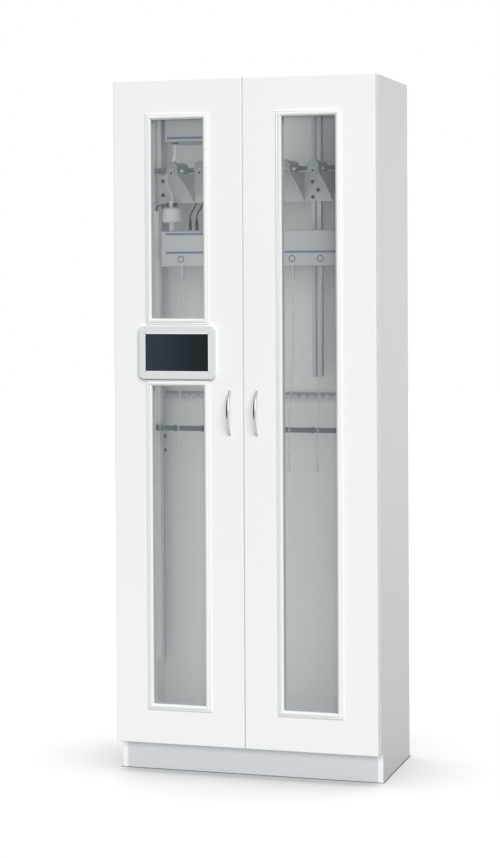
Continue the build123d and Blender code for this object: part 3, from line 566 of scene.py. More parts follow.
# Route of a drying tube: steps in millimetres from its nozzle
TUBE_DROP = (
    (0.0, 0.0, 0.0),
    (0.0, 0.0, -70.0),
    (-0.5, -1.5, -145.0),
    (-1.5, -4.5, -225.0),
    (-3.0, -9.5, -305.0),
    (-5.0, -16.0, -380.0),
    (-8.0, -22.0, -445.0),
    (-10.0, -25.0, -508.0),
    (-10.0, -25.0, -570.0),
)
NOZZLE_TO_FRONT = 15.0


def tube_points(x):
    """Route of one hanging tube, from the end of its nozzle."""
    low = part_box("air_manifold")[0]
    start = Vector((x, low.y + NOZZLE_TO_FRONT * MM, low.z))
    return [start + Vector(step) * MM for step in TUBE_DROP]


# Pieces


class CABINET_OT_boards(bpy.types.Operator):
    """Finish the cabinet's boards and screw the back board on"""

    bl_idname = "cabinet.boards"
    bl_label = "Boards"

    def execute(self, context):
        finish, fitting = settings(context)
        board = melamine_board("melamine_board_white", finish.board)
        dress(["side_panel_left", "side_panel_right", "top_board", "bottom_board"], board)
        # The back board takes a lighter copy of the laminate, painted light for light bounced round
        # the inside
        dress(["back_board"], melamine_board("melamine_board_inside", finish.inside))
        dress(["plinth_board"], melamine_board("melamine_board_plinth", finish.plinth))
        back_screws(fitting, satin_nickel("zinc_plated_screw", finish.nickel, 0.4))
        return {"FINISHED"}


BACK_SCREWS = 6
BACK_SCREW_INSET = 45.0
BACK_SCREW_PROUD = 0.5


def back_screws(fitting, material):
    """Screws through the back board into the top and bottom boards."""
    low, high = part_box("back_board")
    inset = BACK_SCREW_INSET * MM
    seats = [
        ((x, high.y, middle(carrier).z), (0, 1, 0))
        for carrier in ("top_board", "bottom_board")
        for x in spread(low.x + inset, high.x - inset, BACK_SCREWS)
    ]
    size = fitting.screw_radius, BACK_SCREW_PROUD * MM
    socket_screws("back_board_screws", seats, *size, material, "hinge")


class CABINET_OT_doors(bpy.types.Operator):
    """Finish the doors with their mouldings, glass and seals"""

    bl_idname = "cabinet.doors"
    bl_label = "Doors"

    def execute(self, context):
        finish, _ = settings(context)
        dress(["door_left", "door_right"], lacquered_door("lacquered_door_white", finish.door))
        frames = ["window_frame_upper", "window_frame_lower", "window_frame_right"]
        # The mouldings carry painted shade on their inner edges
        dress(frames, moulding_pvc("extruded_pvc_white", finish.moulding, finish.rebate_painted_shade))
        trim = extruded_pvc("extruded_pvc_trim", finish.moulding)
        for name in frames:
            window_trim(name, trim)
        panes = ["window_glass_upper", "window_glass_lower", "window_glass_right"]
        dress(panes, float_glass("float_glass_clear", finish.glass, veil=0.12))
        seal = soft_rubber("extruded_seal_grey", finish.seal, 0.7)
        dress(["door_seal_left", "door_seal_right"], seal)
        meeting_strip(soft_rubber("extruded_strip_light", finish.strip, 0.6))
        return {"FINISHED"}


TRIM_WIDTH = 8.0
TRIM_PAST_EDGE = 0.5
TRIM_PROUD = 4.5
TRIM_DEEP = 3.0
TRIM_ROUND = 3.5


def window_trim(frame_name, material):
    """Rounded rib along the outer edge of one moulding."""
    bm = bmesh.new()
    low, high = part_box(frame_name)
    inward = Vector((1, 0, 1)) * (TRIM_WIDTH - TRIM_PAST_EDGE) * MM
    body = "right_door" if frame_name.endswith("right") else "left_door"
    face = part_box("door_left")[0].y
    depth = (face - TRIM_PROUD * MM, face + TRIM_DEEP * MM)
    border(bm, low + inward, high - inward, TRIM_WIDTH * MM, depth, TRIM_ROUND * MM)
    piece_from(frame_name.replace("frame", "trim"), bm, material, body)


STRIP_BEHIND_FACE = 1.0
STRIP_TO_DOOR = 0.3
STRIP_ROUND = 0.4


def meeting_strip(material):
    """Soft strip on the left door's inner edge that closes the gap between the doors."""
    bm = bmesh.new()
    low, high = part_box("door_left")
    start = (high.x, low.y + STRIP_BEHIND_FACE * MM, low.z)
    end = (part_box("door_right")[0].x - STRIP_TO_DOOR * MM, high.y, high.z)
    slab(bm, start, end, STRIP_ROUND * MM)
    piece_from("meeting_strip", bm, material, "left_door")


class CABINET_OT_display(bpy.types.Operator):
    """Finish the touch display"""

    bl_idname = "cabinet.display"
    bl_label = "Display"

    def execute(self, context):
        finish, _ = settings(context)
        bezel = moulded_plastic("moulded_abs_light_grey", finish.housing, 0.35, grain=0.8 * MM)
        dress(["display_housing"], bezel)
        screen = cover_glass("cover_glass_dark", finish.screen, finish.screen_edge)
        dress(["display_screen"], screen)
        screen_lip(moulded_plastic("moulded_abs_white_lip", finish.door, 0.25, grain=0.8 * MM))
        return {"FINISHED"}


LIP_WIDTH = 2.5
LIP_PROUD = 0.5


def screen_lip(material):
    """Slim bright lip round the screen, on the bezel's face."""
    bm = bmesh.new()
    low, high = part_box("display_screen")
    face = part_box("display_housing")[0].y
    border(bm, low, high, LIP_WIDTH * MM, (face - LIP_PROUD * MM, face))
    piece_from("screen_lip", bm, material, "left_door")


class CABINET_OT_handles(bpy.types.Operator):
    """Finish the bow handles"""

    bl_idname = "cabinet.handles"
    bl_label = "Handles"

    def execute(self, context):
        finish, _ = settings(context)
        handles = ["handle_left", "handle_right"]
        dress(handles, satin_nickel("satin_chrome_brushed", finish.chrome, 0.2))
        smooth_turned(handles)
        return {"FINISHED"}


class CABINET_OT_hinges(bpy.types.Operator):
    """Finish the hinges and put screws in their leaves"""

    bl_idname = "cabinet.hinges"
    bl_label = "Hinges"

    def execute(self, context):
        finish, _ = settings(context)
        lacquer = powder_coat("lacquered_steel_white", finish.hinge)
        leaves = [name for name in frame["nodes"] if name.startswith("hinges_")]
        dress(leaves, lacquer)
        smooth_turned(leaves)
        for side, name in zip(SIDES, ("left", "right")):
            hinge_screws(f"hinges_{name}_door_leaves", 1, side, f"{name}_door", lacquer)
            hinge_screws(f"hinges_{name}_body_leaves", -1, side, "cabinet", lacquer)
        return {"FINISHED"}


SCREWS_PER_LEAF = 3
HINGE_SCREW_RADIUS = 2.6
HINGE_SCREW_PROUD = 0.35
HINGE_SCREW_INSET = 12.0
HINGE_HEIGHT = 90.0
BARREL_WIDTH = 6.3
LEAF_THICKNESS = 1.6


def hinge_screws(node_name, facing, side, body, material):
    """Flush screws up the wing of each leaf of one node."""
    low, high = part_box(node_name)
    inner = abs(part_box("side_panel_left")[1].x)
    outer = max(abs(low.x), abs(high.x)) - BARREL_WIDTH * MM
    board_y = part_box("door_left")[1].y if facing > 0 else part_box("side_panel_left")[0].y
    half = HINGE_HEIGHT * MM / 2
    reach = half - HINGE_SCREW_INSET * MM
    seats = [
        ((side * (inner + outer) / 2, board_y + facing * LEAF_THICKNESS * MM, z), (0, facing, 0))
        for level in (low.z + half, (low.z + high.z) / 2, high.z - half)
        for z in spread(level - reach, level + reach, SCREWS_PER_LEAF)
    ]
    name = node_name.replace("leaves", "screws")
    size = HINGE_SCREW_RADIUS * MM, HINGE_SCREW_PROUD * MM
    socket_screws(name, seats, *size, material, "hinge", body)


class CABINET_OT_uprights(bpy.types.Operator):
    """Finish the slotted uprights, their caps and the cable duct, with the bolts on them"""

    bl_idname = "cabinet.uprights"
    bl_label = "Uprights"

    def execute(self, context):
        finish, fitting = settings(context)
        uprights = ["upright_left", "upright_right", "upright_mid_left", "upright_mid_right"]
        dress(uprights, anodised_aluminium("anodised_aluminium_extruded", finish.aluminium))
        caps = moulded_plastic("moulded_polyethylene_white", finish.white_plastic, 0.5)
        dress(["upright_caps"], caps)
        dress(["cable_duct"], extruded_pvc("extruded_pvc_light_grey", finish.duct))
        black = moulded_plastic("blackened_steel_bolt", finish.black_plastic, 0.45)
        upright_bolts(fitting, black)
        plate_bolts(fitting, black)
        return {"FINISHED"}


SHEET = 2.0
BOLTS_FROM_PLATE_TOP = (31.5, 76.0)
BOLT_FROM_PLATE_END = 7.5
BOLTS_FROM_BRACKET_TOP = (45.5, 90.0)
ZIGZAG_BOLTS = ((-10.7, 41.5), (7.1, 67.0), (-10.3, 89.0))
ZIGZAG_BOLT_SHARE = 0.95


def upright_bolts(fitting, material):
    """Black bolts at the plate's ends, and through the bar's brackets into the outer uprights."""
    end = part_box("hanger_plate")[1]
    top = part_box("bar_brackets")[1].z
    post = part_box("upright_left")[0].y
    seats = []
    for side in SIDES:
        for drop in BOLTS_FROM_PLATE_TOP:
            across = side * (end.x - BOLT_FROM_PLATE_END * MM)
            seats.append(((across, post - SHEET * MM, end.z - drop * MM), (0, -1, 0)))
        for drop in BOLTS_FROM_BRACKET_TOP:
            across = side * (end.x - SHEET * MM)
            seats.append(((across, middle("upright_left").y, top - drop * MM), (-side, 0, 0)))
    size = fitting.bolt_radius, fitting.bolt_height
    socket_screws("upright_bolts", seats, *size, material, "filter_clip")


def plate_bolts(fitting, material):
    """Black bolts through the hanger plate into the mid uprights, set in a zigzag."""
    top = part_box("hanger_plate")[1].z
    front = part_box("upright_left")[0].y - SHEET * MM
    seats = [
        ((middle(name).x + across * MM, front, top - drop * MM), (0, -1, 0))
        for name in ("upright_mid_left", "upright_mid_right")
        for across, drop in ZIGZAG_BOLTS
    ]
    size = fitting.bolt_radius * ZIGZAG_BOLT_SHARE, fitting.bolt_height
    socket_screws("hanger_plate_bolts", seats, *size, material, "filter_clip")


class CABINET_OT_hangers(bpy.types.Operator):
    """Finish the hanger plate, cradles and rail, with their screws and studs"""

    bl_idname = "cabinet.hangers"
    bl_label = "Hangers"

    def execute(self, context):
        finish, fitting = settings(context)
        coat = powder_coat("powder_coat_light_grey", finish.coat)
        dress(["hanger_plate", "bar_brackets"], coat)
        dress(PLACES, moulded_plastic("moulded_abs_mid_grey", finish.cradle, 0.5))
        dress(["hanging_rail"], powder_coat("powder_coat_dark_grey", finish.rail))
        smooth_turned(PLACES + ["hanging_rail"])
        black = moulded_plastic("blackened_steel_screw", finish.black_plastic, 0.45)
        lip_screws(fitting, black)
        cradle_studs(fitting, moulded_plastic("moulded_nylon_stud", WHITE, 0.3))
        return {"FINISHED"}


LIP_SCREW_SHARE = 1.2


def lip_screws(fitting, material):
    """One dark screw in the lip before each cradle."""
    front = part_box("hanger_plate")[0].y
    seats = [((middle(name).x, front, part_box(name)[0].z), (0, -1, 0)) for name in PLACES]
    size = fitting.screw_radius * LIP_SCREW_SHARE, fitting.screw_height
    socket_screws("hanger_lip_screws", seats, *size, material, "filter_clip")


STUD_FROM_BACK = 77.0
STUD_ABOVE_SHELF = 8.0
STUD_LENGTH = 8.0
STUD_SIDES = 16
STUD_TILTS = (0, 20, 40, 60, 80)


def cradle_studs(fitting, material):
    """White domed stud on each cradle's right side, under its dip."""
    bm = bmesh.new()
    radius, length = fitting.stud_radius, STUD_LENGTH * MM
    tilts = [math.radians(tilt) for tilt in STUD_TILTS]
    dome = [(radius * math.cos(tilt), length * math.sin(tilt), STUD_SIDES) for tilt in tilts]
    for name in PLACES:
        low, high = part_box(name)
        seat = (high.x, high.y - STUD_FROM_BACK * MM, low.z + STUD_ABOVE_SHELF * MM)
        stacked(bm, dome, seat, (1, 0, 0))
    piece_from("cradle_pins", bm, material)


class CABINET_OT_air_system(bpy.types.Operator):
    """Finish the air manifold, filter, control box and their lines"""

    bl_idname = "cabinet.air_system"
    bl_label = "Air system"

    def execute(self, context):
        finish, fitting = settings(context)
        coat = powder_coat("powder_coat_pale_grey", finish.coat)
        dress(["air_manifold", "control_box"], coat)
        white = moulded_plastic("moulded_polypropylene_white", finish.white_plastic, 0.35)
        dress(["air_filter"], white)
        black = moulded_plastic("moulded_polyamide_black", finish.black_plastic, 0.5)
        dress(["filter_clip", "lead_plugs", "mains_inlet"], black)
        dress(["air_line"], silicone_tube("silicone_air_line", finish.silicone, cover=0.45))
        leads = ["control_lead_1", "control_lead_2", "sensor_lead"]
        dress(leads, soft_rubber("extruded_pvc_jacket_black", finish.black_plastic, 0.5))
        smooth_turned(["air_filter", "air_line", "air_manifold", "lead_plugs"] + leads)
        trim_stripes(fitting, vinyl_film("vinyl_film_blue", finish.stripe))
        place_rings(fitting, vinyl_film("vinyl_film_dark", finish.sleeve))
        filter_ribs(white)
        plug_ribs(black)
        fitting_nuts(black)
        inlet_blades(satin_nickel("nickel_plated_blade", finish.nickel, 0.3))
        return {"FINISHED"}


STRIPE_INSET = 16.0
UPPER_STRIPE_END = -115.0
UPPER_STRIPE_FROM_TOP = 12.5
LOWER_STRIPE_FROM_TOP = 70.5
CONTROL_STRIPE_FROM_TOP = 144.0
CONTROL_STRIPE_INSET = 8.0


def trim_stripes(fitting, material):
    """Blue stripes across the fronts of the manifold and the control box."""
    bm = bmesh.new()
    low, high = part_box("air_manifold")
    box_low, box_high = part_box("control_box")
    start = low.x + STRIPE_INSET * MM
    upper = high.z - UPPER_STRIPE_FROM_TOP * MM
    lower = high.z - LOWER_STRIPE_FROM_TOP * MM
    control = box_high.z - CONTROL_STRIPE_FROM_TOP * MM
    inset = CONTROL_STRIPE_INSET * MM
    half = fitting.stripe_height / 2
    for left, right, front, level in (
        (start, UPPER_STRIPE_END * MM, low.y, upper),
        (start, high.x - STRIPE_INSET * MM, low.y, lower),
        (box_low.x + inset, box_high.x - inset, box_low.y, control),
    ):
        slab(bm, (left, front - fitting.film, level - half), (right, front, level + half))
    piece_from("trim_stripes", bm, material)


RING_FROM_TOP = 91.0


def place_rings(fitting, material):
    """A plain ring on the manifold for each place."""
    bm = bmesh.new()
    low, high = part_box("air_manifold")
    level = high.z - RING_FROM_TOP * MM
    inner = fitting.ring_radius - fitting.ring_width / 2
    outer = fitting.ring_radius + fitting.ring_width / 2
    section = ((inner, 0), (outer, 0), (outer, fitting.film), (inner, fitting.film))
    for x in place_lines():
        turned(bm, section, (x, low.y, level), (0, -1, 0), steps=28, closed=True)
    piece_from("place_rings", bm, material)


FILTER_MIDDLE = 1699.5
FILTER_RADIUS = 30.0
FILTER_SEAM = ((28.0, -2.0), (31.2, -1.2), (31.2, 1.2), (28.0, 2.0))
FILTER_RIBS = 24
FILTER_RIB_SIZE = (2.0, 1.6, 12.0)
FILTER_RIB_BELOW = 11.0


def filter_ribs(material):
    """Welded seam round the filter's middle and short grip ribs under it."""
    bm = bmesh.new()
    seat = Vector((*middle("air_filter").xy, FILTER_MIDDLE * MM))
    turned(bm, in_metres(FILTER_SEAM), seat, (0, 0, 1), steps=40, closed=True)
    for i in range(FILTER_RIBS):
        turn = Matrix.Rotation(math.tau * i / FILTER_RIBS, 4, "Z")
        made = bmesh.ops.create_cube(bm, size=1.0)["verts"]
        bmesh.ops.scale(bm, vec=Vector(FILTER_RIB_SIZE) * MM, verts=made)
        bmesh.ops.translate(bm, vec=(FILTER_RADIUS * MM, 0, -FILTER_RIB_BELOW * MM), verts=made)
        bmesh.ops.transform(bm, matrix=Matrix.Translation(seat) @ turn, verts=made)
    piece_from("filter_ribs", bm, material)


PLUG_RADIUS = 5.0
PLUG_RIBS = 5
PLUG_FIRST_RIB = 6.0
PLUG_RIB_PITCH = 4.0
PLUG_RIB_SECTION = ((4.6, -1.0), (5.7, -0.6), (5.7, 0.6), (4.6, 1.0))


def plug_ribs(material):
    """Grip rings round each lead's plug."""
    bm = bmesh.new()
    low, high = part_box("lead_plugs")
    for x in (low.x + PLUG_RADIUS * MM, high.x - PLUG_RADIUS * MM):
        for i in range(PLUG_RIBS):
            level = low.z + (PLUG_FIRST_RIB + PLUG_RIB_PITCH * i) * MM
            seat = (x, middle("lead_plugs").y, level)
            turned(bm, in_metres(PLUG_RIB_SECTION), seat, (0, 0, 1), steps=18, closed=True)
    piece_from("lead_plug_ribs", bm, material)


CONTROL_HEIGHT = 155.5
AIR_NUT_X = -305.0
AIR_NUT_RADIUS = 10.5
GLAND_NUTS = ((-192.0, 140.0), (-176.0, 152.0))
GLAND_NUT_RADIUS = 7.0
NUT_LEVELS = ((0.88, 0.0), (1.0, 0.6), (1.0, 4.4), (0.88, 5.0))


def fitting_nuts(material):
    """Hexagonal nuts where the air line and the leads enter the control box."""
    bm = bmesh.new()
    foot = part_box("control_box")[1].z - CONTROL_HEIGHT * MM
    nuts = [(AIR_NUT_X * MM, middle("air_filter").y, AIR_NUT_RADIUS)]
    nuts += [(x * MM, y * MM, GLAND_NUT_RADIUS) for x, y in GLAND_NUTS]
    for x, y, radius in nuts:
        levels = [(radius * share * MM, height * MM, 6) for share, height in NUT_LEVELS]
        stacked(bm, levels, (x, y, foot), (0, 0, -1))
    piece_from("control_box_nuts", bm, material)


BLADE_WIDTH = 2.0
BLADE_HEIGHT = 4.0
BLADE_ACROSS = 7.0
BLADE_UP = 3.0
BLADE_CLEAR = 2.0
BLADE_ROUND = 0.3


def inlet_blades(material):
    """Three flat blades in the mains inlet's socket."""
    bm = bmesh.new()
    low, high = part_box("mains_inlet")
    centre = (low + high) / 2
    half = Vector((BLADE_WIDTH, high.y / MM - low.y / MM - 2 * BLADE_CLEAR, BLADE_HEIGHT)) * MM / 2
    for across, up in ((-1, -1), (0, 1), (1, -1)):
        seat = centre + Vector((across * BLADE_ACROSS, 0, up * BLADE_UP)) * MM
        slab(bm, seat - half, seat + half, BLADE_ROUND * MM)
    piece_from("inlet_blades", bm, material)


class CABINET_OT_drying_tubes(bpy.types.Operator):
    """Make the hanging drying tubes with a connector on each"""

    bl_idname = "cabinet.drying_tubes"
    bl_label = "Drying tubes"

    def execute(self, context):
        finish, fitting = settings(context)
        diameter = fitting.tube_diameter
        clear = silicone_tube("silicone_drying_tube", finish.silicone, cover=0.27)
        white = moulded_plastic("moulded_polypropylene_tip", finish.white_plastic, 0.35)
        for number, x in enumerate(place_lines(), 1):
            points = tube_points(x)
            tip = tube_tip(f"tube_tip_{number}", points[-1], white)
            curve = tube_curve(points, diameter, clear)
            tube = new_object(f"drying_tube_curve_{number}", curve)
            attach(tube, "cabinet")
            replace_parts(tube, f"drying_tube_{number}")
        return {"FINISHED"}


def tube_curve(points, diameter, material):
    """Round tube along one smooth spline."""
    curve = bpy.data.curves.new("drying_tube", "CURVE")
    curve.dimensions = "3D"
    curve.bevel_depth = diameter / 2
    curve.bevel_resolution = 3
    curve.use_fill_caps = True
    spline = curve.splines.new("NURBS")
    spline.points.add(len(points) - 1)
    for knot, point in zip(spline.points, points):
        knot.co = (*point, 1.0)
    spline.order_u = 3
    spline.use_endpoint_u = True
    spline.resolution_u = 6
    spline.use_smooth = True
    curve.materials.append(material)
    return curve


TIP_COLLAR = ((0.0, 0.0), (4.0, 0.0), (4.5, 0.8), (4.5, 4.0))
TIP_NOSE = ((4.0, 19.0), (4.2, 20.0), (2.6, 29.2), (2.2, 30.0))
TIP_BORE = ((1.2, 30.0), (1.2, 22.0), (0.0, 22.0))
GRIP_RIBS = 5
GRIP_FOOT = 5.0
GRIP_PITCH = 2.6
GRIP_RIB = ((4.0, 0.0), (4.5, 0.6), (4.5, 1.6))


def tube_tip(name, end, material):
    """Stepped connector: barb collar, ribbed grip and tapering nose."""
    bm = bmesh.new()
    feet = [GRIP_FOOT + GRIP_PITCH * i for i in range(GRIP_RIBS)]
    grip = [(radius, foot + height) for foot in feet for radius, height in GRIP_RIB]
    profile = in_metres([*TIP_COLLAR, *grip, *TIP_NOSE, *TIP_BORE])
    turned(bm, profile, end, (0, 0, -1), steps=24)
    tip = piece_from(name, bm, material)
    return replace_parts(tip, "tube_tips")


class CABINET_OT_lower_fittings(bpy.types.Operator):
    """Finish the perforated strip and the divider bar"""

    bl_idname = "cabinet.lower_fittings"
    bl_label = "Lower fittings"

    def execute(self, context):
        finish, fitting = settings(context)
        dress(["perforated_strip"], galvanised_steel("galvanised_steel_strip", finish.zinc))
        dress(["divider_bar"], foam_sleeve("foam_sleeve_dark", finish.sleeve))
        smooth_turned(["divider_bar"])
        divider_rings(soft_rubber("moulded_rubber_ring", finish.rail, 0.6))
        strip_screws(fitting, satin_nickel("zinc_plated_strip_screw", finish.nickel, 0.4))
        # The grey film along the strip's upper rim is painted shade, in the cradle colour
        strip_edge(fitting, vinyl_film("vinyl_film_grey", finish.cradle))
        return {"FINISHED"}


RING_SECTION = ((8.2, -3.8), (9.5, -3.8), (10.1, -2.6), (10.1, 2.6), (9.5, 3.8), (8.2, 3.8))


def divider_rings(material):
    """Rounded rubber rings on the bar, midway between the places and beyond the last ones."""
    bm = bmesh.new()
    lines = place_lines()
    pitch = lines[1] - lines[0]
    bar = middle("divider_bar")
    for i in range(len(lines) + 1):
        seat = (lines[0] + (i - 0.5) * pitch, bar.y, bar.z)
        turned(bm, in_metres(RING_SECTION), seat, (1, 0, 0), steps=28, closed=True)
    piece_from("divider_rings", bm, material)


STRIP_SCREWS = 5
STRIP_SCREW_UP = 3.2
STRIP_SCREW_SHARE = 0.8
STRIP_SHADE_HEIGHT = 9.0


def strip_edge(fitting, material):
    """Painted shade: a dark film along the strip's upper rim."""
    bm = bmesh.new()
    low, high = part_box("perforated_strip")
    start = (low.x, low.y - fitting.film, high.z - STRIP_SHADE_HEIGHT * MM)
    slab(bm, start, (high.x, low.y, high.z))
    piece_from("strip_edge", bm, material)


def strip_screws(fitting, material):
    """Screws that hold the strip's top leg up to the back board."""
    low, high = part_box("perforated_strip")
    level = low.z + STRIP_SCREW_UP * MM
    half_pitch = (high.x - low.x) / STRIP_SCREWS / 2
    lines = spread(low.x + half_pitch, high.x - half_pitch, STRIP_SCREWS)
    seats = [((x, low.y, level), (0, -1, 0)) for x in lines]
    size = fitting.screw_radius * STRIP_SCREW_SHARE, fitting.screw_height
    socket_screws("strip_screws", seats, *size, material, "hinge")


# Stage


class CABINET_OT_stage(bpy.types.Operator):
    """Make the floor, the lights and the camera"""

    bl_idname = "cabinet.stage"
    bl_label = "Stage"

    def execute(self, context):
        stage = context.scene.cabinet_stage
        context.scene.view_settings.view_transform = "Standard"
        floor = make_floor(stage)
        make_world(context.scene, stage)
        fronts = receivers("front_pieces", FRONTS)
        boards = receivers("body_boards", BOARDS)
        below = receivers("floor_alone", (floor.name,))
        make_soft_sun("key_light", stage.key, KEY_FROM, KEY_SOFTNESS, fronts)
        make_soft_sun("board_light", BOARD_SHARE * stage.key, BOARD_FROM, BOARD_SOFTNESS, boards)
        make_soft_sun("floor_dome", stage.above, OVERHEAD, DOME, below)
        make_soft_sun("floor_light", FLOOR_SUN_SHARE * stage.above, OVERHEAD, FLOOR_SOFTNESS, below)
        side = make_panel_light("side_light", stage.side, SIDE_SIZE, SIDE_PLACE, (-1, 0, 0))
        side.light_linking.receiver_collection = boards
        make_inside_light(stage)
        make_dark_flag()
        # Painted contact shadow at the foot
        make_painted_contact_shadow()
        make_camera(context.scene, stage)
        return {"FINISHED"}


FLOOR_SIZE = 40.0
CAMERA_PLACE = (1.8123, -6.2442, 1.5138)
CAMERA_YAW = 16.493
CAMERA_PITCH = 0.966
CAMERA_ROLL = -0.297
SENSOR_WIDTH = 36.0
IMAGE_HEIGHT = 858
PRINCIPAL_ABOVE_MIDDLE = 119.37
KEY_FROM = (28, 28)
KEY_SOFTNESS = 50
BOARD_SHARE = 0.8
BOARD_FROM = (4, 14)
BOARD_SOFTNESS = 30
OVERHEAD = (0, 90)
DOME = 170.0
FLOOR_SOFTNESS = 22.0
FLOOR_SUN_SHARE = 0.36
SIDE_PLACE = (2.1, 0.1, 1.6)
SIDE_SIZE = (0.9, 0.9)
INSIDE_SPREAD = 115.0
INSIDE_FROM_RIGHT = 0.19
INSIDE_TOP = 2.05
LIP_THICKNESS = 1.5
INSIDE_SHARES = {"front": 0.38, "back": 0.62, "hangers": 0.09, "wall": 0.055}
HANGER_LEVELS = (1.45, 1.85)
# Painted contact shadow round the cabinet's foot: its grey, and how far it reaches past the sides
# and front
CONTACT_SHADOW_GREY = "#8E9092"
CONTACT_SIDES = 0.004
CONTACT_FRONT = 0.009
CONTACT_ABOVE_FLOOR = 0.0002
FLAG_PLACE = (-2.55, -2.05, 1.1)
FLAG_SIZE = 5.8
FLAG_GLOW = 0.03
FRONTS = ("door_", "window_", "display_", "handle_", "meeting_", "screen_")
BOARDS = ("side_panel_", "top_", "plinth_", "hinges_")


def plain_sheet(name, size):
    """A square sheet at the origin, with an empty material tree."""
    bm = bmesh.new()
    bmesh.ops.create_grid(bm, x_segments=1, y_segments=1, size=size / 2)
    mesh = bpy.data.meshes.new(name)
    bm.to_mesh(mesh)
    bm.free()
    sheet = new_object(name, mesh)
    material, tree = new_material(name + "_paper")
    mesh.materials.append(material)
    return sheet, tree


def hide_from(thing, *rays):
    """Hides a thing from some kinds of rays."""
    for ray in rays:
        setattr(thing, "visible_" + ray, False)


def aimed(place, direction):
    """Matrix that puts a thing at place with its own Z along direction."""
    turn = Vector(direction).to_track_quat("Z", "Y").to_matrix().to_4x4()
    return Matrix.Translation(place) @ turn


def make_floor(stage):
    """Floor that shows white and keeps the shadow, and gives the cabinet only a little light."""
    floor, tree = plain_sheet("studio_floor", FLOOR_SIZE)
    ends = {"Factor": seen_share(tree), "A": stage.bounce, "B": stage.floor}
    colour = node(tree, "Mix", ends, data_type="RGBA").outputs["Result"]
    paper = node(tree, "BsdfDiffuse", {"Color": colour})
    node(tree, "OutputMaterial", {"Surface": paper.outputs[0]})
    return floor


def make_dark_flag():
    """Dark sheet at the left that only bright metal mirrors, as its dark edge."""
    flag, tree = plain_sheet("studio_flag", FLAG_SIZE)
    paper = node(tree, "Emission", {"Color": WHITE, "Strength": FLAG_GLOW})
    node(tree, "OutputMaterial", {"Surface": paper.outputs[0]})
    flag.matrix_world = aimed(FLAG_PLACE, (*FLAG_PLACE[:2], 0))
    hide_from(flag, "camera", "diffuse", "transmission", "shadow")


def make_painted_contact_shadow():
    """Painted contact shadow: a thin dark sheet on the floor round the cabinet's foot."""
    sheet, tree = plain_sheet("studio_contact", 1.0)
    paper = node(tree, "BsdfDiffuse", {"Color": srgb(CONTACT_SHADOW_GREY)})
    node(tree, "OutputMaterial", {"Surface": paper.outputs[0]})
    low, high = cad_box
    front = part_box("plinth_board")[0].y
    low = Vector((low.x - CONTACT_SIDES, front - CONTACT_FRONT, CONTACT_ABOVE_FLOOR))
    high = Vector((high.x + CONTACT_SIDES, high.y + CONTACT_SIDES, CONTACT_ABOVE_FLOOR))
    size = Matrix.Diagonal((*(high - low).xy, 1, 1))
    sheet.matrix_world = Matrix.Translation((low + high) / 2) @ size
    hide_from(sheet, "diffuse", "glossy", "shadow")


def receivers(name, starts):
    """The group that a light reaches: what has a name that starts so."""
    group = bpy.data.collections.new(name)
    for thing in bpy.context.scene.objects:
        if thing.name.startswith(starts):
            group.objects.link(thing)
    return group


def seen_share(tree):
    """One on rays that look at a surface or reflect it, and nothing on the light it gives."""
    rays = node(tree, "LightPath").outputs
    seen = rays["Is Camera Ray"]
    for name in ("Is Glossy Ray", "Is Transmission Ray"):
        seen = node(tree, "Math", {0: seen, 1: rays[name]}, operation="MAXIMUM").outputs[0]
    return seen


def make_world(scene, stage):
    """Even white surroundings: full white where they are seen, softer as light."""
    world = bpy.data.worlds.new("studio_surroundings")
    scene.world = world
    world.use_nodes = True
    tree = world.node_tree
    tree.nodes.clear()
    light = node(tree, "Background", {"Color": WHITE, "Strength": stage.fill})
    seen = node(tree, "Background", {"Color": WHITE, "Strength": 1.0})
    mix = node(tree, "MixShader", {0: seen_share(tree), 1: light.outputs[0], 2: seen.outputs[0]})
    node(tree, "OutputWorld", {"Surface": mix.outputs[0]})


def make_soft_sun(name, strength, source, softness, group):
    """Soft light from afar on one group; source is its azimuth, 90 at the right, and elevation."""
    lamp = bpy.data.lights.new(name, "SUN")
    lamp.energy = strength
    lamp.angle = math.radians(softness)
    azimuth, elevation = (math.radians(angle) for angle in source)
    flat = math.cos(elevation)
    towards = (math.sin(azimuth) * flat, -math.cos(azimuth) * flat, math.sin(elevation))
    sun = new_object(name, lamp)
    sun.matrix_world = aimed((0, 0, 0), towards)
    sun.light_linking.receiver_collection = group


def make_panel_light(name, power, size, place, facing):
    """A lit rectangle that no camera or mirror sees."""
    lamp = bpy.data.lights.new(name, "AREA")
    lamp.shape = "RECTANGLE"
    lamp.size, lamp.size_y = size
    lamp.energy = power
    light = new_object(name, lamp)
    light.matrix_world = aimed(place, -Vector(facing))
    hide_from(light, "camera", "glossy", "transmission")
    return light


def make_inside_light(stage):
    """Panels of light that face the back board: even, but less at the right and on the lips."""
    low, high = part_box("door_seal_left")[0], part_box("door_seal_right")[1]
    right = high.x - INSIDE_FROM_RIGHT
    plate_low, plate_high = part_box("hanger_plate")
    behind_lips = plate_low.y + LIP_THICKNESS * MM
    panels = {
        "front": (right, high.y, low.z, INSIDE_TOP),
        "back": (right, behind_lips, low.z, INSIDE_TOP),
        "hangers": (right, high.y, *HANGER_LEVELS),
        "wall": (0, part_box("cradle_1")[1].y, plate_high.z, INSIDE_TOP),
    }
    for name, (end, y, foot, top) in panels.items():
        power = INSIDE_SHARES[name] * stage.inside
        place = ((low.x + end) / 2, y, (foot + top) / 2)
        size = (end - low.x, top - foot)
        light = make_panel_light(f"inside_light_{name}", power, size, place, (0, 1, 0))
        light.data.spread = math.radians(INSIDE_SPREAD)


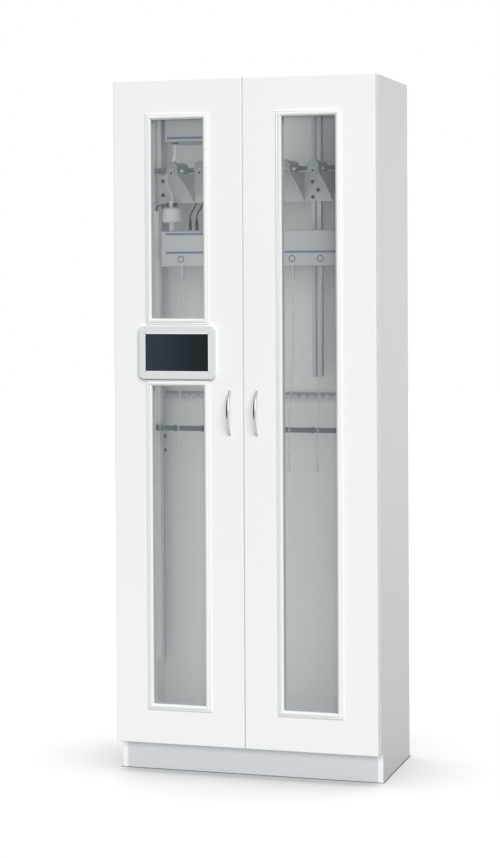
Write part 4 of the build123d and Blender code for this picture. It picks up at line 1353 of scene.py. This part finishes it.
def make_camera(scene, stage):
    """The photograph's viewpoint: slightly right of the cabinet, at eye height."""
    lens = bpy.data.cameras.new("camera")
    lens.lens = stage.lens
    lens.sensor_width = SENSOR_WIDTH
    lens.shift_y = -PRINCIPAL_ABOVE_MIDDLE / IMAGE_HEIGHT
    stand = Matrix.Translation(CAMERA_PLACE)
    for angle, axis in ((CAMERA_YAW, "Z"), (90 - CAMERA_PITCH, "X"), (CAMERA_ROLL, "Z")):
        stand = stand @ Matrix.Rotation(math.radians(angle), 4, axis)
    camera = new_object("camera", lens)
    camera.matrix_world = stand
    scene.camera = camera


# The add-on

PIECES = (
    CABINET_OT_boards,
    CABINET_OT_doors,
    CABINET_OT_display,
    CABINET_OT_handles,
    CABINET_OT_hinges,
    CABINET_OT_uprights,
    CABINET_OT_hangers,
    CABINET_OT_air_system,
    CABINET_OT_drying_tubes,
    CABINET_OT_lower_fittings,
    CABINET_OT_stage,
)


class CABINET_PT_pieces(bpy.types.Panel):
    """Lists the cabinet's pieces in the sidebar"""

    bl_label = "Drying cabinet"
    bl_idname = "CABINET_PT_pieces"
    bl_space_type = "VIEW_3D"
    bl_region_type = "UI"
    bl_category = "Cabinet"

    def draw(self, context):
        for piece in PIECES:
            self.layout.operator(piece.bl_idname)


GROUPS = {
    "cabinet_finishes": CabinetFinishes,
    "cabinet_fittings": CabinetFittings,
    "cabinet_stage": CabinetStage,
}


def register():
    for name, group in GROUPS.items():
        bpy.utils.register_class(group)
        setattr(bpy.types.Scene, name, bpy.props.PointerProperty(type=group))
    for piece in PIECES:
        bpy.utils.register_class(piece)
    bpy.utils.register_class(CABINET_PT_pieces)


def unregister():
    bpy.utils.unregister_class(CABINET_PT_pieces)
    for piece in reversed(PIECES):
        bpy.utils.unregister_class(piece)
    for name, group in GROUPS.items():
        delattr(bpy.types.Scene, name)
        bpy.utils.unregister_class(group)


def main():
    register()
    for piece in PIECES:
        getattr(bpy.ops.cabinet, piece.bl_idname.split(".")[1])()


if __name__ == "__main__":
    main()
